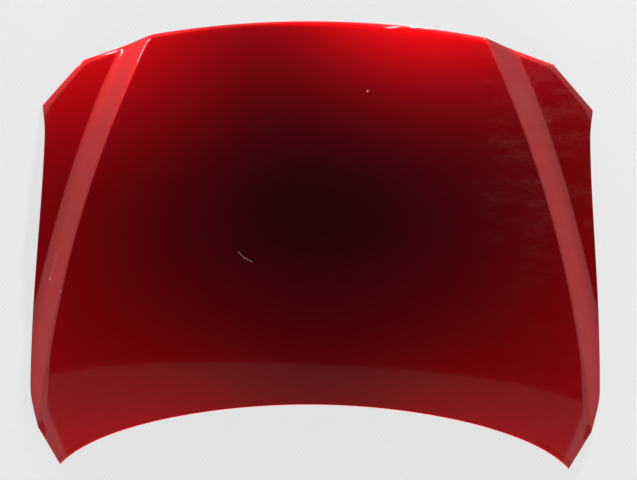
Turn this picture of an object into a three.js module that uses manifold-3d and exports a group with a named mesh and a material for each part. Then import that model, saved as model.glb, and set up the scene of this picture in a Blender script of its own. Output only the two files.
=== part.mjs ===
import * as THREE from 'three';
import Module from 'manifold-3d';
import { mergeVertices } from 'three/addons/utils/BufferGeometryUtils.js';

// A car bonnet with its hinges off, lying crown up on its rim. Millimetres, +Z up, +Y towards the
// front of the car, +X to its right, the origin on the floor under the middle of the plan.

// Outline in plan. A setback runs rearwards from the front edge, a rise forwards from the rear tips,
// and each IN is a distance inboard of the widest point.
const LENGTH = 1184;
const WIDTH = 1540;
const FRONT_ARC_RADIUS = 2900;
const CREASE_CORNER_IN = 326;
const LAMP_CORNER_IN = 136;
const LAMP_CORNER_SETBACK = 95;
const NOSE_CORNER_IN = 26;
const LAMP_EDGE_RUN = 121.5;
const WAIST_IN = 35;
const WAIST_RUN = 82;
const WIDEST_RISE = 207;
const SIDE_NOSE_SLOPE = -0.156;
const SIDE_CORNER_SLOPE = -0.27;
const SIDE_CORNER_IN = 25;
const SIDE_CORNER_RISE = 100;
const TIP_IN = 86;
const REAR_ARC_RISE = 182;
const REAR_ARC_HANDLE = 286;
const TIP_HANDLE_X = 97;
const TIP_HANDLE_Y = 106.5;

// Crown of the panel, and the slanted band between the crease line and the valley line
const CROWN_RADIUS = 3000;
const NOSE_RADIUS = 2900;
const TAIL_RADIUS = 6000;
const APEX_SETBACK = 643;
const BAND_SLOPE = 0.45;
const CREASE_FRONT_SLOPE = 0.45;
const CREASE_REAR_SLOPE = 0.13;
const CREASE_ROUNDING = 6;
const VALLEY_OUT = 70;
const VALLEY_END_RISE = 303;
const VALLEY_FRONT_SLOPE = 0.46;
const VALLEY_REAR_SLOPE = 0.22;
const VALLEY_ROUNDING = 18;
const VALLEY_SHARE_LEAST = 0.3;
const VALLEY_SHARE_MOST = 0.75;
const VALLEY_SHARE_STEP = 0.01;
const LIP_WIDTH = 14;
const LIP_RADIUS = 60;

// Sheets, and the hem that folds the skin round the frame's flange
const SKIN = 0.8;
const FRAME = 0.7;
const GAP = 0.3;
const HEM_ROUND = 0.9;
const HEM_FLANGE = 12;
const HEM_TO_WALL = 1;
const WALL_FOOT = 27;

// Pressed pattern of the frame, in depths below the skin's face and widths across the ribs
const RIB_DEPTH = 28;
const SIDE_DEPTH = 18;
const LAND_DEPTH = 9;
const RIB_WIDTH = 40;
const WALL_RUN = 15;
const FRONT_CHANNEL = 60;
const REAR_CHANNEL = 60;
const HOLE_WIDTH = 100;
const HOLE_SIDE_MARGIN = 25;
const HOLE_END_MARGIN = 53;
const FIELD_COUNT_ALONG = 3;
const FIELD_COUNT_ACROSS = 2;
const CREASE_LAND = 50;
const FLOOR_CLEARANCE = 5;

// Hinge pads at the rear corners, their plates and weld nuts
const HINGE_PLATE_WIDTH = 56;
const HINGE_PLATE = 2;
const HINGE_SIDE_MARGIN = 10;
const HINGE_END_MARGIN = 30;
const HINGE_BOLT_INSET = 24;
const HINGE_PAD_SLOPE_X = 0.12;
const HINGE_PAD_SLOPE_Y = 0.06;
const BOLT = 8;
const BOLT_CLEARANCE = 0.5;
const NUT_FLATS = 13;
const NUT_HEIGHT = 6.5;

// Striker, its plate and what it is bolted to
const REINFORCEMENT_LENGTH = 130;
const REINFORCEMENT_MARGIN = 8;
const REINFORCEMENT = 2;
const STRIKER_PLATE_LENGTH = 84;
const STRIKER_PLATE_WIDTH = 40;
const STRIKER_PLATE = 3;
const STRIKER_BOLT_INSET = 11;
const STRIKER_ROD = 8;
const STRIKER_TO_BOLT = 1.5;
const STRIKER_DROP = 32;
const BOLT_HEAD_HEIGHT = 5.5;
const BOLT_FLANGE = 17;
const BOLT_FLANGE_HEIGHT = 1.5;
const BOLT_END = 2;
const PLATE_CORNER = 8;

// Brace that stiffens the skin over the striker
const BRACE_WIDTH = 36;
const BRACE = 0.8;
const BRACE_DEPTH = 6;
const BRACE_FOOT = 26;
const BRACE_WALL = 22;
const BRACE_CLEARANCE = 12;
const BRACE_DAB_OUT = 50;

// Mastic dabs, insulation pad with its clips, rubber buffers
const DAB_DIAMETER = 22;
const DAB_BULGE = 1.5;
const PAD = 7;
const CLIP_HEAD = 26;
const CLIP_HEAD_HEIGHT = 2.5;
const CLIP_STEM = 7;
const CLIP_BARB = 9.5;
const CLIP_BARB_HEIGHT = 5;
const BUFFER_DIAMETER = 26;
const BUFFER_TIP = 16;
const BUFFER_HEIGHT = 16;
const BUFFER_STEM = 10;
const BUFFER_BULB = 14;
const BUFFER_BULB_HEIGHT = 5;
const STEM_CLEARANCE = 0.5;

const wasm = await Module();
wasm.setup();

const HEM = 2 * SKIN + FRAME + 2 * GAP;
const HALF = WIDTH / 2;
const FRONT = LENGTH / 2;
const REAR = -LENGTH / 2;
const point = (x, y) => new THREE.Vector2(x, y);
const creaseCorner = frontArc(HALF - CREASE_CORNER_IN);
const lampCorner = point(HALF - LAMP_CORNER_IN, FRONT - LAMP_CORNER_SETBACK);
const noseCorner = point(HALF - NOSE_CORNER_IN, lampCorner.y - LAMP_EDGE_RUN);
const waist = point(HALF - WAIST_IN, noseCorner.y - WAIST_RUN);
const widest = point(HALF, REAR + WIDEST_RISE);
const sideCorner = point(HALF - SIDE_CORNER_IN, REAR + SIDE_CORNER_RISE);
const tip = point(HALF - TIP_IN, REAR);
const valleyStart = creaseCorner.clone().lerp(lampCorner, VALLEY_OUT / (lampCorner.x - creaseCorner.x));
const valleyEnd = point(sideLine(REAR + VALLEY_END_RISE), REAR + VALLEY_END_RISE);
const rearArc = new THREE.CubicBezierCurve(
  point(0, REAR + REAR_ARC_RISE),
  point(REAR_ARC_HANDLE, REAR + REAR_ARC_RISE),
  point(tip.x - TIP_HANDLE_X, tip.y + TIP_HANDLE_Y),
  tip,
);

function frontArc(x) {
  const sag = FRONT_ARC_RADIUS - Math.sqrt(FRONT_ARC_RADIUS ** 2 - x * x);
  return point(x, FRONT - sag);
}

// Half width at a station y of a smooth line between two points, with its outward slope at each end
function smoothLine(y, start, end, startSlope, endSlope) {
  const run = start.y - end.y;
  const s = Math.min(1, Math.max(0, (start.y - y) / run));
  const rest = 1 - s;
  return (1 + 2 * s) * rest * rest * start.x + (3 - 2 * s) * s * s * end.x
    + s * rest * rest * run * startSlope - s * s * rest * run * endSlope;
}

function sideLine(y) {
  if (y > waist.y) return smoothLine(y, noseCorner, waist, SIDE_NOSE_SLOPE, 0);
  if (y > widest.y) return smoothLine(y, waist, widest, 0, 0);
  return smoothLine(y, widest, sideCorner, 0, SIDE_CORNER_SLOPE);
}

function creaseLine(y) {
  return smoothLine(y, creaseCorner, sideCorner, CREASE_FRONT_SLOPE, CREASE_REAR_SLOPE);
}

function valleyLine(y) {
  if (y < valleyEnd.y) return sideLine(y);
  const line = smoothLine(y, valleyStart, valleyEnd, VALLEY_FRONT_SLOPE, VALLEY_REAR_SLOPE);
  return Math.max(creaseLine(y), line);
}

// Zero before the bend, a straight climb after it, and a round between
function bend(distance, rounding) {
  if (distance < -rounding) return 0;
  if (distance > rounding) return distance;
  return (distance + rounding) ** 2 / (4 * rounding);
}

// Distance inboard of the front edge and of the two slanted edges beside it
function frontInset(x, y) {
  const beside = Math.abs(x);
  const insets = [frontArc(Math.min(beside, creaseCorner.x)).y - y];
  const corners = [creaseCorner, lampCorner, noseCorner];
  for (let k = 0; k < 2; k += 1) {
    const along = corners[k + 1].clone().sub(corners[k]).normalize();
    insets.push((beside - corners[k].x) * along.y - (y - corners[k].y) * along.x);
  }
  return Math.max(0, Math.min(...insets));
}

// Height of the skin's face, from its apex, before the panel tips over onto its rim
function crown(x, y) {
  const beside = Math.abs(x);
  const ahead = y - (FRONT - APEX_SETBACK);
  const along = ahead ** 2 / (2 * (ahead > 0 ? NOSE_RADIUS : TAIL_RADIUS));
  const band = bend(beside - creaseLine(y), CREASE_ROUNDING) - bend(beside - valleyLine(y), VALLEY_ROUNDING);
  const lip = Math.max(0, LIP_WIDTH - frontInset(x, y)) ** 2 / (2 * LIP_RADIUS);
  return -along - x * x / (2 * CROWN_RADIUS) - BAND_SLOPE * band - lip;
}

// Stations of the grid, as shares of its reach, each with its level: 0 on a land, 1 on a rib
function stations(first, fields, field, tail) {
  const stops = [];
  let reach = 0;
  const add = (step, level) => {
    reach += step;
    stops.push({ reach, level });
  };
  add(0, 1);
  add(first, 1);
  for (let k = 0; k < fields; k += 1) {
    if (k > 0) add(RIB_WIDTH, 1);
    add(WALL_RUN, 0);
    field.forEach((step) => add(step, 0));
    add(WALL_RUN, 1);
  }
  tail.forEach(([step, level]) => add(step, level));
  return stops.map((stop) => ({ at: stop.reach / reach, level: stop.level }));
}

const columns = stations(
  RIB_WIDTH / 2,
  FIELD_COUNT_ACROSS,
  [HOLE_SIDE_MARGIN, HOLE_WIDTH, HOLE_SIDE_MARGIN],
  [[RIB_WIDTH, 1], [WALL_RUN, 0], [CREASE_LAND, 0], [HINGE_PLATE_WIDTH + 2 * HINGE_SIDE_MARGIN, 0]],
);
const coreLength = LENGTH - REAR_ARC_RISE - 2 * WALL_FOOT;
const ribsLength = FRONT_CHANNEL + (FIELD_COUNT_ALONG - 1) * RIB_WIDTH + REAR_CHANNEL;
const fieldLength = (coreLength - ribsLength) / FIELD_COUNT_ALONG - 2 * WALL_RUN;
const rows = stations(
  FRONT_CHANNEL,
  FIELD_COUNT_ALONG,
  [HOLE_END_MARGIN, fieldLength - 2 * HOLE_END_MARGIN, HOLE_END_MARGIN],
  [[REAR_CHANNEL, 1]],
);

// Cells between two stations on a rib, and the cell in the middle of each field that follows one
const ribCells = (stops) => stops.slice(1)
  .flatMap((stop, k) => (stop.level && stops[k].level ? [[k, k + 1]] : []));
const holeCells = (ribs, count) => ribs.slice(0, count).map(([, end]) => [end + 2, end + 3]);
const columnRibs = ribCells(columns);
const rowRibs = ribCells(rows);
const holeColumns = holeCells(columnRibs, FIELD_COUNT_ACROSS);
const holeRows = holeCells(rowRibs, FIELD_COUNT_ALONG);
const frontChannel = rowRibs[0];
const rearChannel = rowRibs[FIELD_COUNT_ALONG];
const outerRib = columnRibs[FIELD_COUNT_ACROSS];

// Named stations: the nose corner, the widest point, the side corner, and the crease, valley and
// side lines
const NOSE = frontChannel[1] + 1;
const WIDEST = holeRows[FIELD_COUNT_ALONG - 1][1];
const CORNER = rearChannel[0] - 1;
const LAST = rearChannel[1];
const CREASE = columns.length - 1;
const VALLEY = CREASE + 1;
const SIDE = VALLEY + 1;

// The side's stations run from the nose corner to the widest point, and on to the side corner
function sideStation(row) {
  if (row <= NOSE) return lampCorner.clone().lerp(noseCorner, rows[row].at / rows[NOSE].at);
  const isAhead = row <= WIDEST;
  const [from, start] = isAhead ? [NOSE, noseCorner] : [WIDEST, widest];
  const [to, end] = isAhead ? [WIDEST, widest] : [CORNER, sideCorner];
  const share = (rows[row].at - rows[from].at) / (rows[to].at - rows[from].at);
  const y = start.y + (end.y - start.y) * share;
  return point(sideLine(y), y);
}

function rearStation(column) {
  const x = columns[column].at * tip.x;
  let low = 0;
  let high = 1;
  for (let k = 0; k < 40; k += 1) {
    const middle = (low + high) / 2;
    if (rearArc.getPoint(middle).x < x) low = middle;
    else high = middle;
  }
  return rearArc.getPoint(low);
}

// The rim of the right half, clockwise from the middle of the front edge to the middle of the rear
function halfRim() {
  const rim = [];
  for (let column = 0; column <= CREASE; column += 1) {
    rim.push({ row: 0, column, at: frontArc(columns[column].at * creaseCorner.x) });
  }
  rim.push({ row: 0, column: VALLEY, at: valleyStart });
  for (let row = 0; row < CORNER; row += 1) rim.push({ row, column: SIDE, at: sideStation(row) });
  for (let row = CORNER; row <= LAST; row += 1) {
    const share = (rows[row].at - rows[CORNER].at) / (1 - rows[CORNER].at);
    rim.push({ row, column: CREASE, at: sideCorner.clone().lerp(tip, share) });
  }
  for (let column = CREASE - 1; column >= 0; column -= 1) {
    rim.push({ row: LAST, column, at: rearStation(column) });
  }
  return rim;
}

// The whole rim, each stop with the direction that leads inboard at the same distance from both edges
function wholeRim() {
  const right = halfRim();
  const left = right.slice(1, -1).reverse().map(({ row, column, at }) => (
    { row, column: -column, at: point(-at.x, at.y) }
  ));
  const rim = [...right, ...left];
  rim.forEach((stop, k) => {
    const before = rim[(k + rim.length - 1) % rim.length].at;
    const after = rim[(k + 1) % rim.length].at;
    const a = stop.at.clone().sub(before).normalize();
    const b = after.clone().sub(stop.at).normalize();
    stop.inward = point(a.y + b.y, -a.x - b.x).divideScalar(1 + a.dot(b));
  });
  return rim;
}

const rim = wholeRim();
const inboard = (stop, distance) => stop.at.clone().addScaledVector(stop.inward, distance);

// Plan of the grid inside the rim: the centre panel is spread between its four sides, and the band
// and shoulder lie on straight rows from the crease to the side, which shrink to nothing at the corner
function planGrid() {
  const edge = new Map(rim.map((stop) => [`${stop.row},${stop.column}`, inboard(stop, WALL_FOOT)]));
  const grid = rows.map(() => []);
  const corner = edge.get(`${CORNER},${CREASE}`);
  const top = edge.get(`0,${CREASE}`);
  for (let row = 0; row <= LAST; row += 1) {
    if (row === 0 || row >= CORNER) grid[row][CREASE] = edge.get(`${row},${CREASE}`);
    else {
      const share = rows[row].at / rows[CORNER].at;
      const y = top.y + (corner.y - top.y) * share;
      const side = edge.get(`${row},${SIDE}`);
      const room = HINGE_SIDE_MARGIN * (1 - share);
      grid[row][CREASE] = point(Math.min(creaseLine(y), side.x - room), y);
      grid[row][SIDE] = side;
      grid[row][VALLEY] = valleyPoint(grid[row][CREASE], side);
    }
  }
  grid[0][VALLEY] = edge.get(`0,${VALLEY}`);
  grid[0][SIDE] = edge.get(`0,${SIDE}`);
  for (let row = 0; row <= LAST; row += 1) {
    for (let column = 0; column < CREASE; column += 1) {
      const u = columns[column].at;
      const v = rows[row].at;
      const front = edge.get(`0,${column}`);
      const rear = edge.get(`${LAST},${column}`);
      const middleY = edge.get('0,0').y + (edge.get(`${LAST},0`).y - edge.get('0,0').y) * v;
      const spread = point(0, middleY).multiplyScalar(1 - u).addScaledVector(grid[row][CREASE], u)
        .addScaledVector(front, 1 - v).addScaledVector(rear, v)
        .addScaledVector(edge.get('0,0'), -(1 - u) * (1 - v)).addScaledVector(top, -u * (1 - v))
        .addScaledVector(edge.get(`${LAST},0`), -(1 - u) * v)
        .addScaledVector(edge.get(`${LAST},${CREASE}`), -u * v);
      grid[row][column] = spread;
    }
  }
  return grid;
}

// Where a row crosses the valley line, kept off both its ends
function valleyPoint(crease, side) {
  let share = VALLEY_SHARE_LEAST;
  let at = crease.clone().lerp(side, share);
  while (share < VALLEY_SHARE_MOST && at.x < valleyLine(at.y)) {
    share += VALLEY_SHARE_STEP;
    at = crease.clone().lerp(side, share);
  }
  return at;
}

const grid = planGrid();

// The panel tips until the lowest points of its front and rear halves lie on one level
function restingPose() {
  let slope = 0;
  const hem = rim.map((stop) => inboard(stop, HEM_ROUND));
  const level = (half) => half.map(({ x, y }) => ({ y, z: crown(x, y) + slope * y }))
    .reduce((low, next) => (next.z < low.z ? next : low));
  for (let pass = 0; pass < 12; pass += 1) {
    const front = level(hem.filter(({ y }) => y > 0));
    const rear = level(hem.filter(({ y }) => y < 0));
    slope += (rear.z - front.z) / (front.y - rear.y);
  }
  return { slope, lift: HEM - level(hem).z };
}

const pose = restingPose();
const skinHeight = ({ x, y }) => crown(x, y) + pose.slope * y + pose.lift;

// Plan point of a grid crossing. Past the corner the outer columns all meet in one.
function crossing(row, column) {
  const beside = Math.abs(column);
  if (beside > CREASE && row > CORNER) return null;
  const at = grid[row][row === CORNER ? Math.min(beside, CREASE) : beside];
  return column < 0 ? point(-at.x, at.y) : at;
}

// The pad under the hinge is flat, on a slope of its own, and lowest at the side corner
const hingeRows = [holeRows[FIELD_COUNT_ALONG - 1][0], CORNER];
const hingeColumns = [CREASE - 1, CREASE];

function hingePadHeight(at) {
  const corner = grid[CORNER][CREASE];
  return FLOOR_CLEARANCE + FRAME + HINGE_PAD_SLOPE_X * (corner.x - Math.abs(at.x))
    + HINGE_PAD_SLOPE_Y * (at.y - corner.y);
}

// Height of the frame's upper face at a crossing
function frameHeight(row, column) {
  const beside = Math.abs(column);
  const at = crossing(row, column);
  if (row >= hingeRows[0] && row <= hingeRows[1] && beside >= hingeColumns[0]) return hingePadHeight(at);
  const isRib = beside <= CREASE && Math.max(rows[row].level, columns[beside].level) > 0;
  const depth = beside > CREASE ? SIDE_DEPTH : (isRib ? RIB_DEPTH : LAND_DEPTH);
  const face = skinHeight(at);
  const least = SKIN + GAP + FRAME;
  return Math.min(face - least, Math.max(face - depth, FLOOR_CLEARANCE + FRAME));
}

// Collects points by key and triangles by index, and makes the geometry of a closed solid
class Solid {
  constructor() {
    this.points = [];
    this.index = new Map();
    this.triangles = [];
  }

  put(key, x, y, z) {
    if (!this.index.has(key)) {
      this.index.set(key, this.points.length / 3);
      this.points.push(x, y, z);
    }
    return this.index.get(key);
  }

  triangle(a, b, c) {
    if (a !== b && b !== c && c !== a) this.triangles.push(a, b, c);
  }

  // A quad is cut from its first to its third corner, or the other way
  quad(a, b, c, d, otherWay = false) {
    if (otherWay) {
      this.triangle(a, b, d);
      this.triangle(b, c, d);
    } else {
      this.triangle(a, b, c);
      this.triangle(a, c, d);
    }
  }

  geometry() {
    const made = new THREE.BufferGeometry();
    made.setAttribute('position', new THREE.Float32BufferAttribute(this.points, 3));
    made.setIndex(this.triangles);
    made.computeVertexNormals();
    return made;
  }
}

// Upper and lower faces over a patch of crossings, with walls round each cell that is left open
function addFaces(solid, patch, upper, lower, isOpen) {
  const { rowList, columnList } = patch;
  const face = (side, height) => (row, column) => {
    const at = crossing(row, column);
    if (!at) return null;
    const beside = row === CORNER ? Math.min(Math.abs(column), CREASE) : Math.abs(column);
    return solid.put(`${side},${row},${Math.sign(column) * beside}`, at.x, at.y, height(row, column));
  };
  const up = face('up', upper);
  const down = face('down', lower);
  for (let i = 0; i < rowList.length - 1; i += 1) {
    for (let j = 0; j < columnList.length - 1; j += 1) {
      const cell = [[i, j], [i + 1, j], [i + 1, j + 1], [i, j + 1]]
        .map(([a, b]) => [rowList[a], columnList[b]]);
      const high = cell.map(([row, column]) => up(row, column));
      const low = cell.map(([row, column]) => down(row, column));
      if (high.includes(null)) continue;
      const mirrored = columnList[j] < 0;
      if (isOpen(rowList[i], columnList[j], columnList[j + 1])) {
        high.forEach((a, k) => solid.quad(a, high[(k + 1) % 4], low[(k + 1) % 4], low[k]));
      } else {
        solid.quad(...high, mirrored);
        solid.quad(low[0], low[3], low[2], low[1], mirrored);
      }
    }
  }
  return { up, down };
}

const everyRow = rows.map((_, row) => row);
const everyColumn = Array.from({ length: 2 * SIDE + 1 }, (_, k) => k - SIDE);

// A sheet that fills the whole outline, closed round the rim by a profile of insets and depths
function panelSheet(upper, lower, profile, isOpen = () => false) {
  const solid = new Solid();
  const patch = { rowList: everyRow, columnList: everyColumn };
  const { up, down } = addFaces(solid, patch, upper, lower, isOpen);
  const ring = (k, step) => {
    const stop = rim[k % rim.length];
    if (step < 0) return up(stop.row, stop.column);
    if (step >= profile.length) return down(stop.row, stop.column);
    const [inset, depth] = profile[step];
    const at = inboard(stop, inset);
    return solid.put(`rim,${k % rim.length},${step}`, at.x, at.y, skinHeight(at) - depth);
  };
  const insetOf = (step) => (step < 0 || step >= profile.length ? WALL_FOOT : profile[step][0]);
  for (let k = 0; k < rim.length; k += 1) {
    for (let step = -1; step < profile.length; step += 1) {
      const returning = insetOf(step + 1) > insetOf(step);
      const mirrored = rim[k].column < 0 || k >= rim.length / 2;
      const corners = [ring(k, step), ring(k + 1, step), ring(k + 1, step + 1), ring(k, step + 1)];
      solid.quad(...corners, returning !== mirrored);
    }
  }
  return solid.geometry();
}

// A sheet over part of the grid with upright edges
function patchSheet(rowList, columnList, upper, lower) {
  const solid = new Solid();
  const { up, down } = addFaces(solid, { rowList, columnList }, upper, lower, () => false);
  const firstRow = rowList[0];
  const lastRow = rowList[rowList.length - 1];
  const firstColumn = columnList[0];
  const lastColumn = columnList[columnList.length - 1];
  const loop = [
    ...columnList.map((column) => [firstRow, column]),
    ...rowList.slice(1).map((row) => [row, lastColumn]),
    ...columnList.slice(0, -1).reverse().map((column) => [lastRow, column]),
    ...rowList.slice(1, -1).reverse().map((row) => [row, firstColumn]),
  ];
  loop.forEach((from, k) => {
    const to = loop[(k + 1) % loop.length];
    solid.quad(up(...from), up(...to), down(...to), down(...from));
  });
  return solid.geometry();
}

function toManifold(geometry) {
  const bare = new THREE.BufferGeometry();
  bare.setAttribute('position', geometry.getAttribute('position').clone());
  if (geometry.index) bare.setIndex(geometry.index.clone());
  const merged = mergeVertices(bare, 1e-4);
  return new wasm.Manifold(new wasm.Mesh({
    numProp: 3,
    vertProperties: new Float32Array(merged.attributes.position.array),
    triVerts: new Uint32Array(merged.index.array),
  }));
}

function cut(geometry, tools) {
  const whole = tools.reduce((left, tool) => left.subtract(toManifold(tool)), toManifold(geometry));
  const mesh = whole.getMesh();
  const made = new THREE.BufferGeometry();
  made.setAttribute('position', new THREE.BufferAttribute(mesh.vertProperties, 3));
  made.setIndex(new THREE.BufferAttribute(mesh.triVerts, 1));
  made.computeVertexNormals();
  return made;
}

// Turned piece on the local Z axis from a closed profile of radius and height
function turned(profile, sides) {
  const made = new THREE.LatheGeometry(profile.map(([r, z]) => point(r, z)), sides);
  return made.rotateX(Math.PI / 2);
}

const rod = (diameter, low, high, sides = 10) => turned(
  [[0, low], [diameter / 2, low], [diameter / 2, high], [0, high]],
  sides,
);

// Plate of constant thickness with cut corners and round holes, its lower face at local z = 0
function plate(length, width, thickness, corner, holes) {
  const x = width / 2;
  const y = length / 2;
  const outline = new THREE.Shape([
    point(-x + corner, -y), point(x - corner, -y), point(x, -y + corner), point(x, y - corner),
    point(x - corner, y), point(-x + corner, y), point(-x, y - corner), point(-x, -y + corner),
  ]);
  holes.forEach(([hx, hy, diameter]) => {
    const hole = new THREE.Path();
    hole.absarc(hx, hy, diameter / 2, 0, 2 * Math.PI, true);
    outline.holes.push(hole);
  });
  return new THREE.ExtrudeGeometry(outline, { depth: thickness, bevelEnabled: false, curveSegments: 5 });
}

function nut(bore) {
  const outline = new THREE.Shape();
  const across = NUT_FLATS / Math.sqrt(3);
  for (let k = 0; k < 6; k += 1) {
    const turn = k * Math.PI / 3;
    const corner = [across * Math.cos(turn), across * Math.sin(turn)];
    if (k === 0) outline.moveTo(...corner);
    else outline.lineTo(...corner);
  }
  outline.closePath();
  const hole = new THREE.Path();
  hole.absarc(0, 0, bore / 2, 0, 2 * Math.PI, true);
  outline.holes.push(hole);
  return new THREE.ExtrudeGeometry(outline, { depth: NUT_HEIGHT, bevelEnabled: false, curveSegments: 5 });
}

// Local frame on the frame's upper face: origin amid four crossings, local Z square to them,
// local X to the car's right
function seat(rowPair, columnPair) {
  const corners = [[0, 0], [1, 0], [1, 1], [0, 1]].map(([a, b]) => {
    const at = crossing(rowPair[a], columnPair[b]);
    return new THREE.Vector3(at.x, at.y, frameHeight(rowPair[a], columnPair[b]));
  });
  const [a, b, c, d] = corners;
  const falling = columnPair[0] + columnPair[1] >= 0;
  const centre = (falling ? a.clone().add(c) : b.clone().add(d)).multiplyScalar(0.5);
  if (columnPair[0] === -columnPair[1]) centre.addVectors(a, b).add(c).add(d).multiplyScalar(0.25);
  const up = c.clone().sub(a).cross(d.clone().sub(b)).normalize();
  if (up.z < 0) up.negate();
  const right = new THREE.Vector3(1, 0, 0).addScaledVector(up, -up.x).normalize();
  const forward = up.clone().cross(right);
  return new THREE.Matrix4().makeBasis(right, forward, up).setPosition(centre);
}

const bonnet = new THREE.Group();
bonnet.name = 'bonnet';

const finishes = {
  skin: [0x6b0509, 0.25, 0.6],
  frame: [0x5a0608, 0.5, 0.4],
  steel: [0x8d9094, 0.45, 0.9],
  mastic: [0x1f1f20, 0.85, 0],
  felt: [0x242425, 0.95, 0],
  plastic: [0x161617, 0.6, 0],
  rubber: [0x141414, 0.8, 0],
};

function add(name, geometry, finish, place = new THREE.Matrix4()) {
  const [color, roughness, metalness] = finishes[finish];
  const mesh = new THREE.Mesh(geometry, new THREE.MeshStandardMaterial({ color, roughness, metalness }));
  mesh.name = name;
  mesh.applyMatrix4(place);
  bonnet.add(mesh);
}

const sides = [['left', -1], ['right', 1]];
const columnsOn = (sign, pair) => (sign > 0 ? pair : [-pair[1], -pair[0]]);

const middleColumns = [-columnRibs[0][1], columnRibs[0][1]];

// Outer skin, its edge folded back under the frame's flange
const hemEnd = HEM_FLANGE + HEM_TO_WALL;
const slotEnd = HEM_ROUND + SKIN;
const skinProfile = [
  [hemEnd, 0],
  [HEM_ROUND, 0],
  [0, HEM / 2],
  [HEM_ROUND, HEM],
  [HEM_FLANGE, HEM],
  [HEM_FLANGE, HEM - SKIN],
  [slotEnd, HEM - SKIN],
  [slotEnd, SKIN],
  [hemEnd, SKIN],
];
add(
  'outer_skin',
  panelSheet(
    (row, column) => skinHeight(crossing(row, column)),
    (row, column) => skinHeight(crossing(row, column)) - SKIN,
    skinProfile,
  ),
  'skin',
);

// Places on the frame, each on the flat of a rib or channel
const strikerSeat = seat(frontChannel, middleColumns);
const hingeSeats = sides.map(([side, sign]) => {
  const place = seat(hingeRows, columnsOn(sign, hingeColumns));
  const across = hingeColumns.map((column) => crossing(CORNER - 1, sign * column));
  const middle = across[0].clone().add(across[1]).multiplyScalar(0.5);
  return [side, place.setPosition(middle.x, middle.y, hingePadHeight(middle))];
});
const hingeReach = crossing(hingeRows[0], CREASE).distanceTo(crossing(hingeRows[1], CREASE));
const hingePlateLength = hingeReach - 2 * HINGE_END_MARGIN;
const hingeBolts = [-1, 1].map((end) => end * (hingePlateLength / 2 - HINGE_BOLT_INSET));
const strikerBolts = [-1, 1].map((end) => end * (STRIKER_PLATE_LENGTH / 2 - STRIKER_BOLT_INSET));
const clipSeats = [];
holeRows.forEach((pair, k) => sides.forEach(([side, sign]) => {
  clipSeats.push([`outer_${side}_${k + 1}`, pair, columnsOn(sign, outerRib)]);
}));
sides.forEach(([side, sign]) => {
  clipSeats.push([`inner_${side}`, holeRows[1], columnsOn(sign, columnRibs[1])]);
});
clipSeats.push(['front_middle', holeRows[0], middleColumns]);
clipSeats.push(['rear_middle', holeRows[FIELD_COUNT_ALONG - 1], middleColumns]);
const bufferSeats = [['front', frontChannel], ['rear', rearChannel]].flatMap(([end, pair]) => (
  sides.map(([side, sign]) => [`${end}_${side}`, pair, columnsOn(sign, outerRib)])
));

const boltHole = BOLT + 2 * BOLT_CLEARANCE;
const through = (place, x, y, diameter) => rod(diameter, -RIB_DEPTH / 2, RIB_DEPTH / 2, 8)
  .translate(x, y, 0).applyMatrix4(place);

// Inner frame: ribs and channels pressed down from the lands, with a hole in each field
const isHole = (row, from, to) => holeRows.some(([a]) => a === row)
  && holeColumns.some(([a, b]) => (from === a && to === b) || (from === -b && to === -a));
const frameSheet = panelSheet(
  frameHeight,
  (row, column) => frameHeight(row, column) - FRAME,
  [
    [hemEnd, SKIN + GAP],
    [slotEnd + GAP, SKIN + GAP],
    [slotEnd + GAP, SKIN + GAP + FRAME],
    [hemEnd, SKIN + GAP + FRAME],
  ],
  isHole,
);
add('inner_frame', cut(frameSheet, [
  ...strikerBolts.map((x) => through(strikerSeat, x, 0, boltHole)),
  ...hingeSeats.flatMap(([, place]) => hingeBolts.map((y) => through(place, 0, y, boltHole))),
  ...clipSeats.map(([, ...pair]) => through(seat(...pair), 0, 0, CLIP_STEM + 2 * STEM_CLEARANCE)),
  ...bufferSeats.map(([, ...pair]) => through(seat(...pair), 0, 0, BUFFER_STEM + 2 * STEM_CLEARANCE)),
]), 'frame');

// Hinge plates lie on the pads, with two weld nuts on each
hingeSeats.forEach(([side, place]) => {
  const holes = hingeBolts.map((y) => [0, y, boltHole]);
  const solid = plate(hingePlateLength, HINGE_PLATE_WIDTH, HINGE_PLATE, PLATE_CORNER, holes);
  add(`hinge_plate_${side}`, solid.translate(0, 0, GAP), 'steel', place);
  hingeBolts.forEach((y, k) => {
    const seated = nut(boltHole).translate(0, y, 2 * GAP + HINGE_PLATE);
    add(`hinge_nut_${side}_${['rear', 'front'][k]}`, seated, 'steel', place);
  });
});

// Striker: a plate and a bent rod under the front channel, bolted through a plate that lies in it
const sagUnder = (length) => (length / 2) ** 2 / (2 * CROWN_RADIUS);
const reinforcementWidth = FRONT_CHANNEL - 2 * REINFORCEMENT_MARGIN;
const reinforcementBase = GAP + sagUnder(RIB_WIDTH);
const boltHoles = strikerBolts.map((x) => [x, 0, boltHole]);
add(
  'striker_reinforcement',
  plate(reinforcementWidth, REINFORCEMENT_LENGTH, REINFORCEMENT, PLATE_CORNER, boltHoles)
    .translate(0, 0, reinforcementBase),
  'steel',
  strikerSeat,
);
const plateTop = -FRAME - GAP - sagUnder(STRIKER_PLATE_LENGTH);
const plateBottom = plateTop - STRIKER_PLATE;
add(
  'striker_plate',
  plate(STRIKER_PLATE_WIDTH, STRIKER_PLATE_LENGTH, STRIKER_PLATE, PLATE_CORNER, boltHoles)
    .translate(0, 0, plateBottom),
  'steel',
  strikerSeat,
);

// The loop's legs stand clear of the bolts' flanges
const strikerSpan = 2 * (strikerBolts[1] - (BOLT_FLANGE + STRIKER_ROD) / 2 - STRIKER_TO_BOLT);

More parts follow.
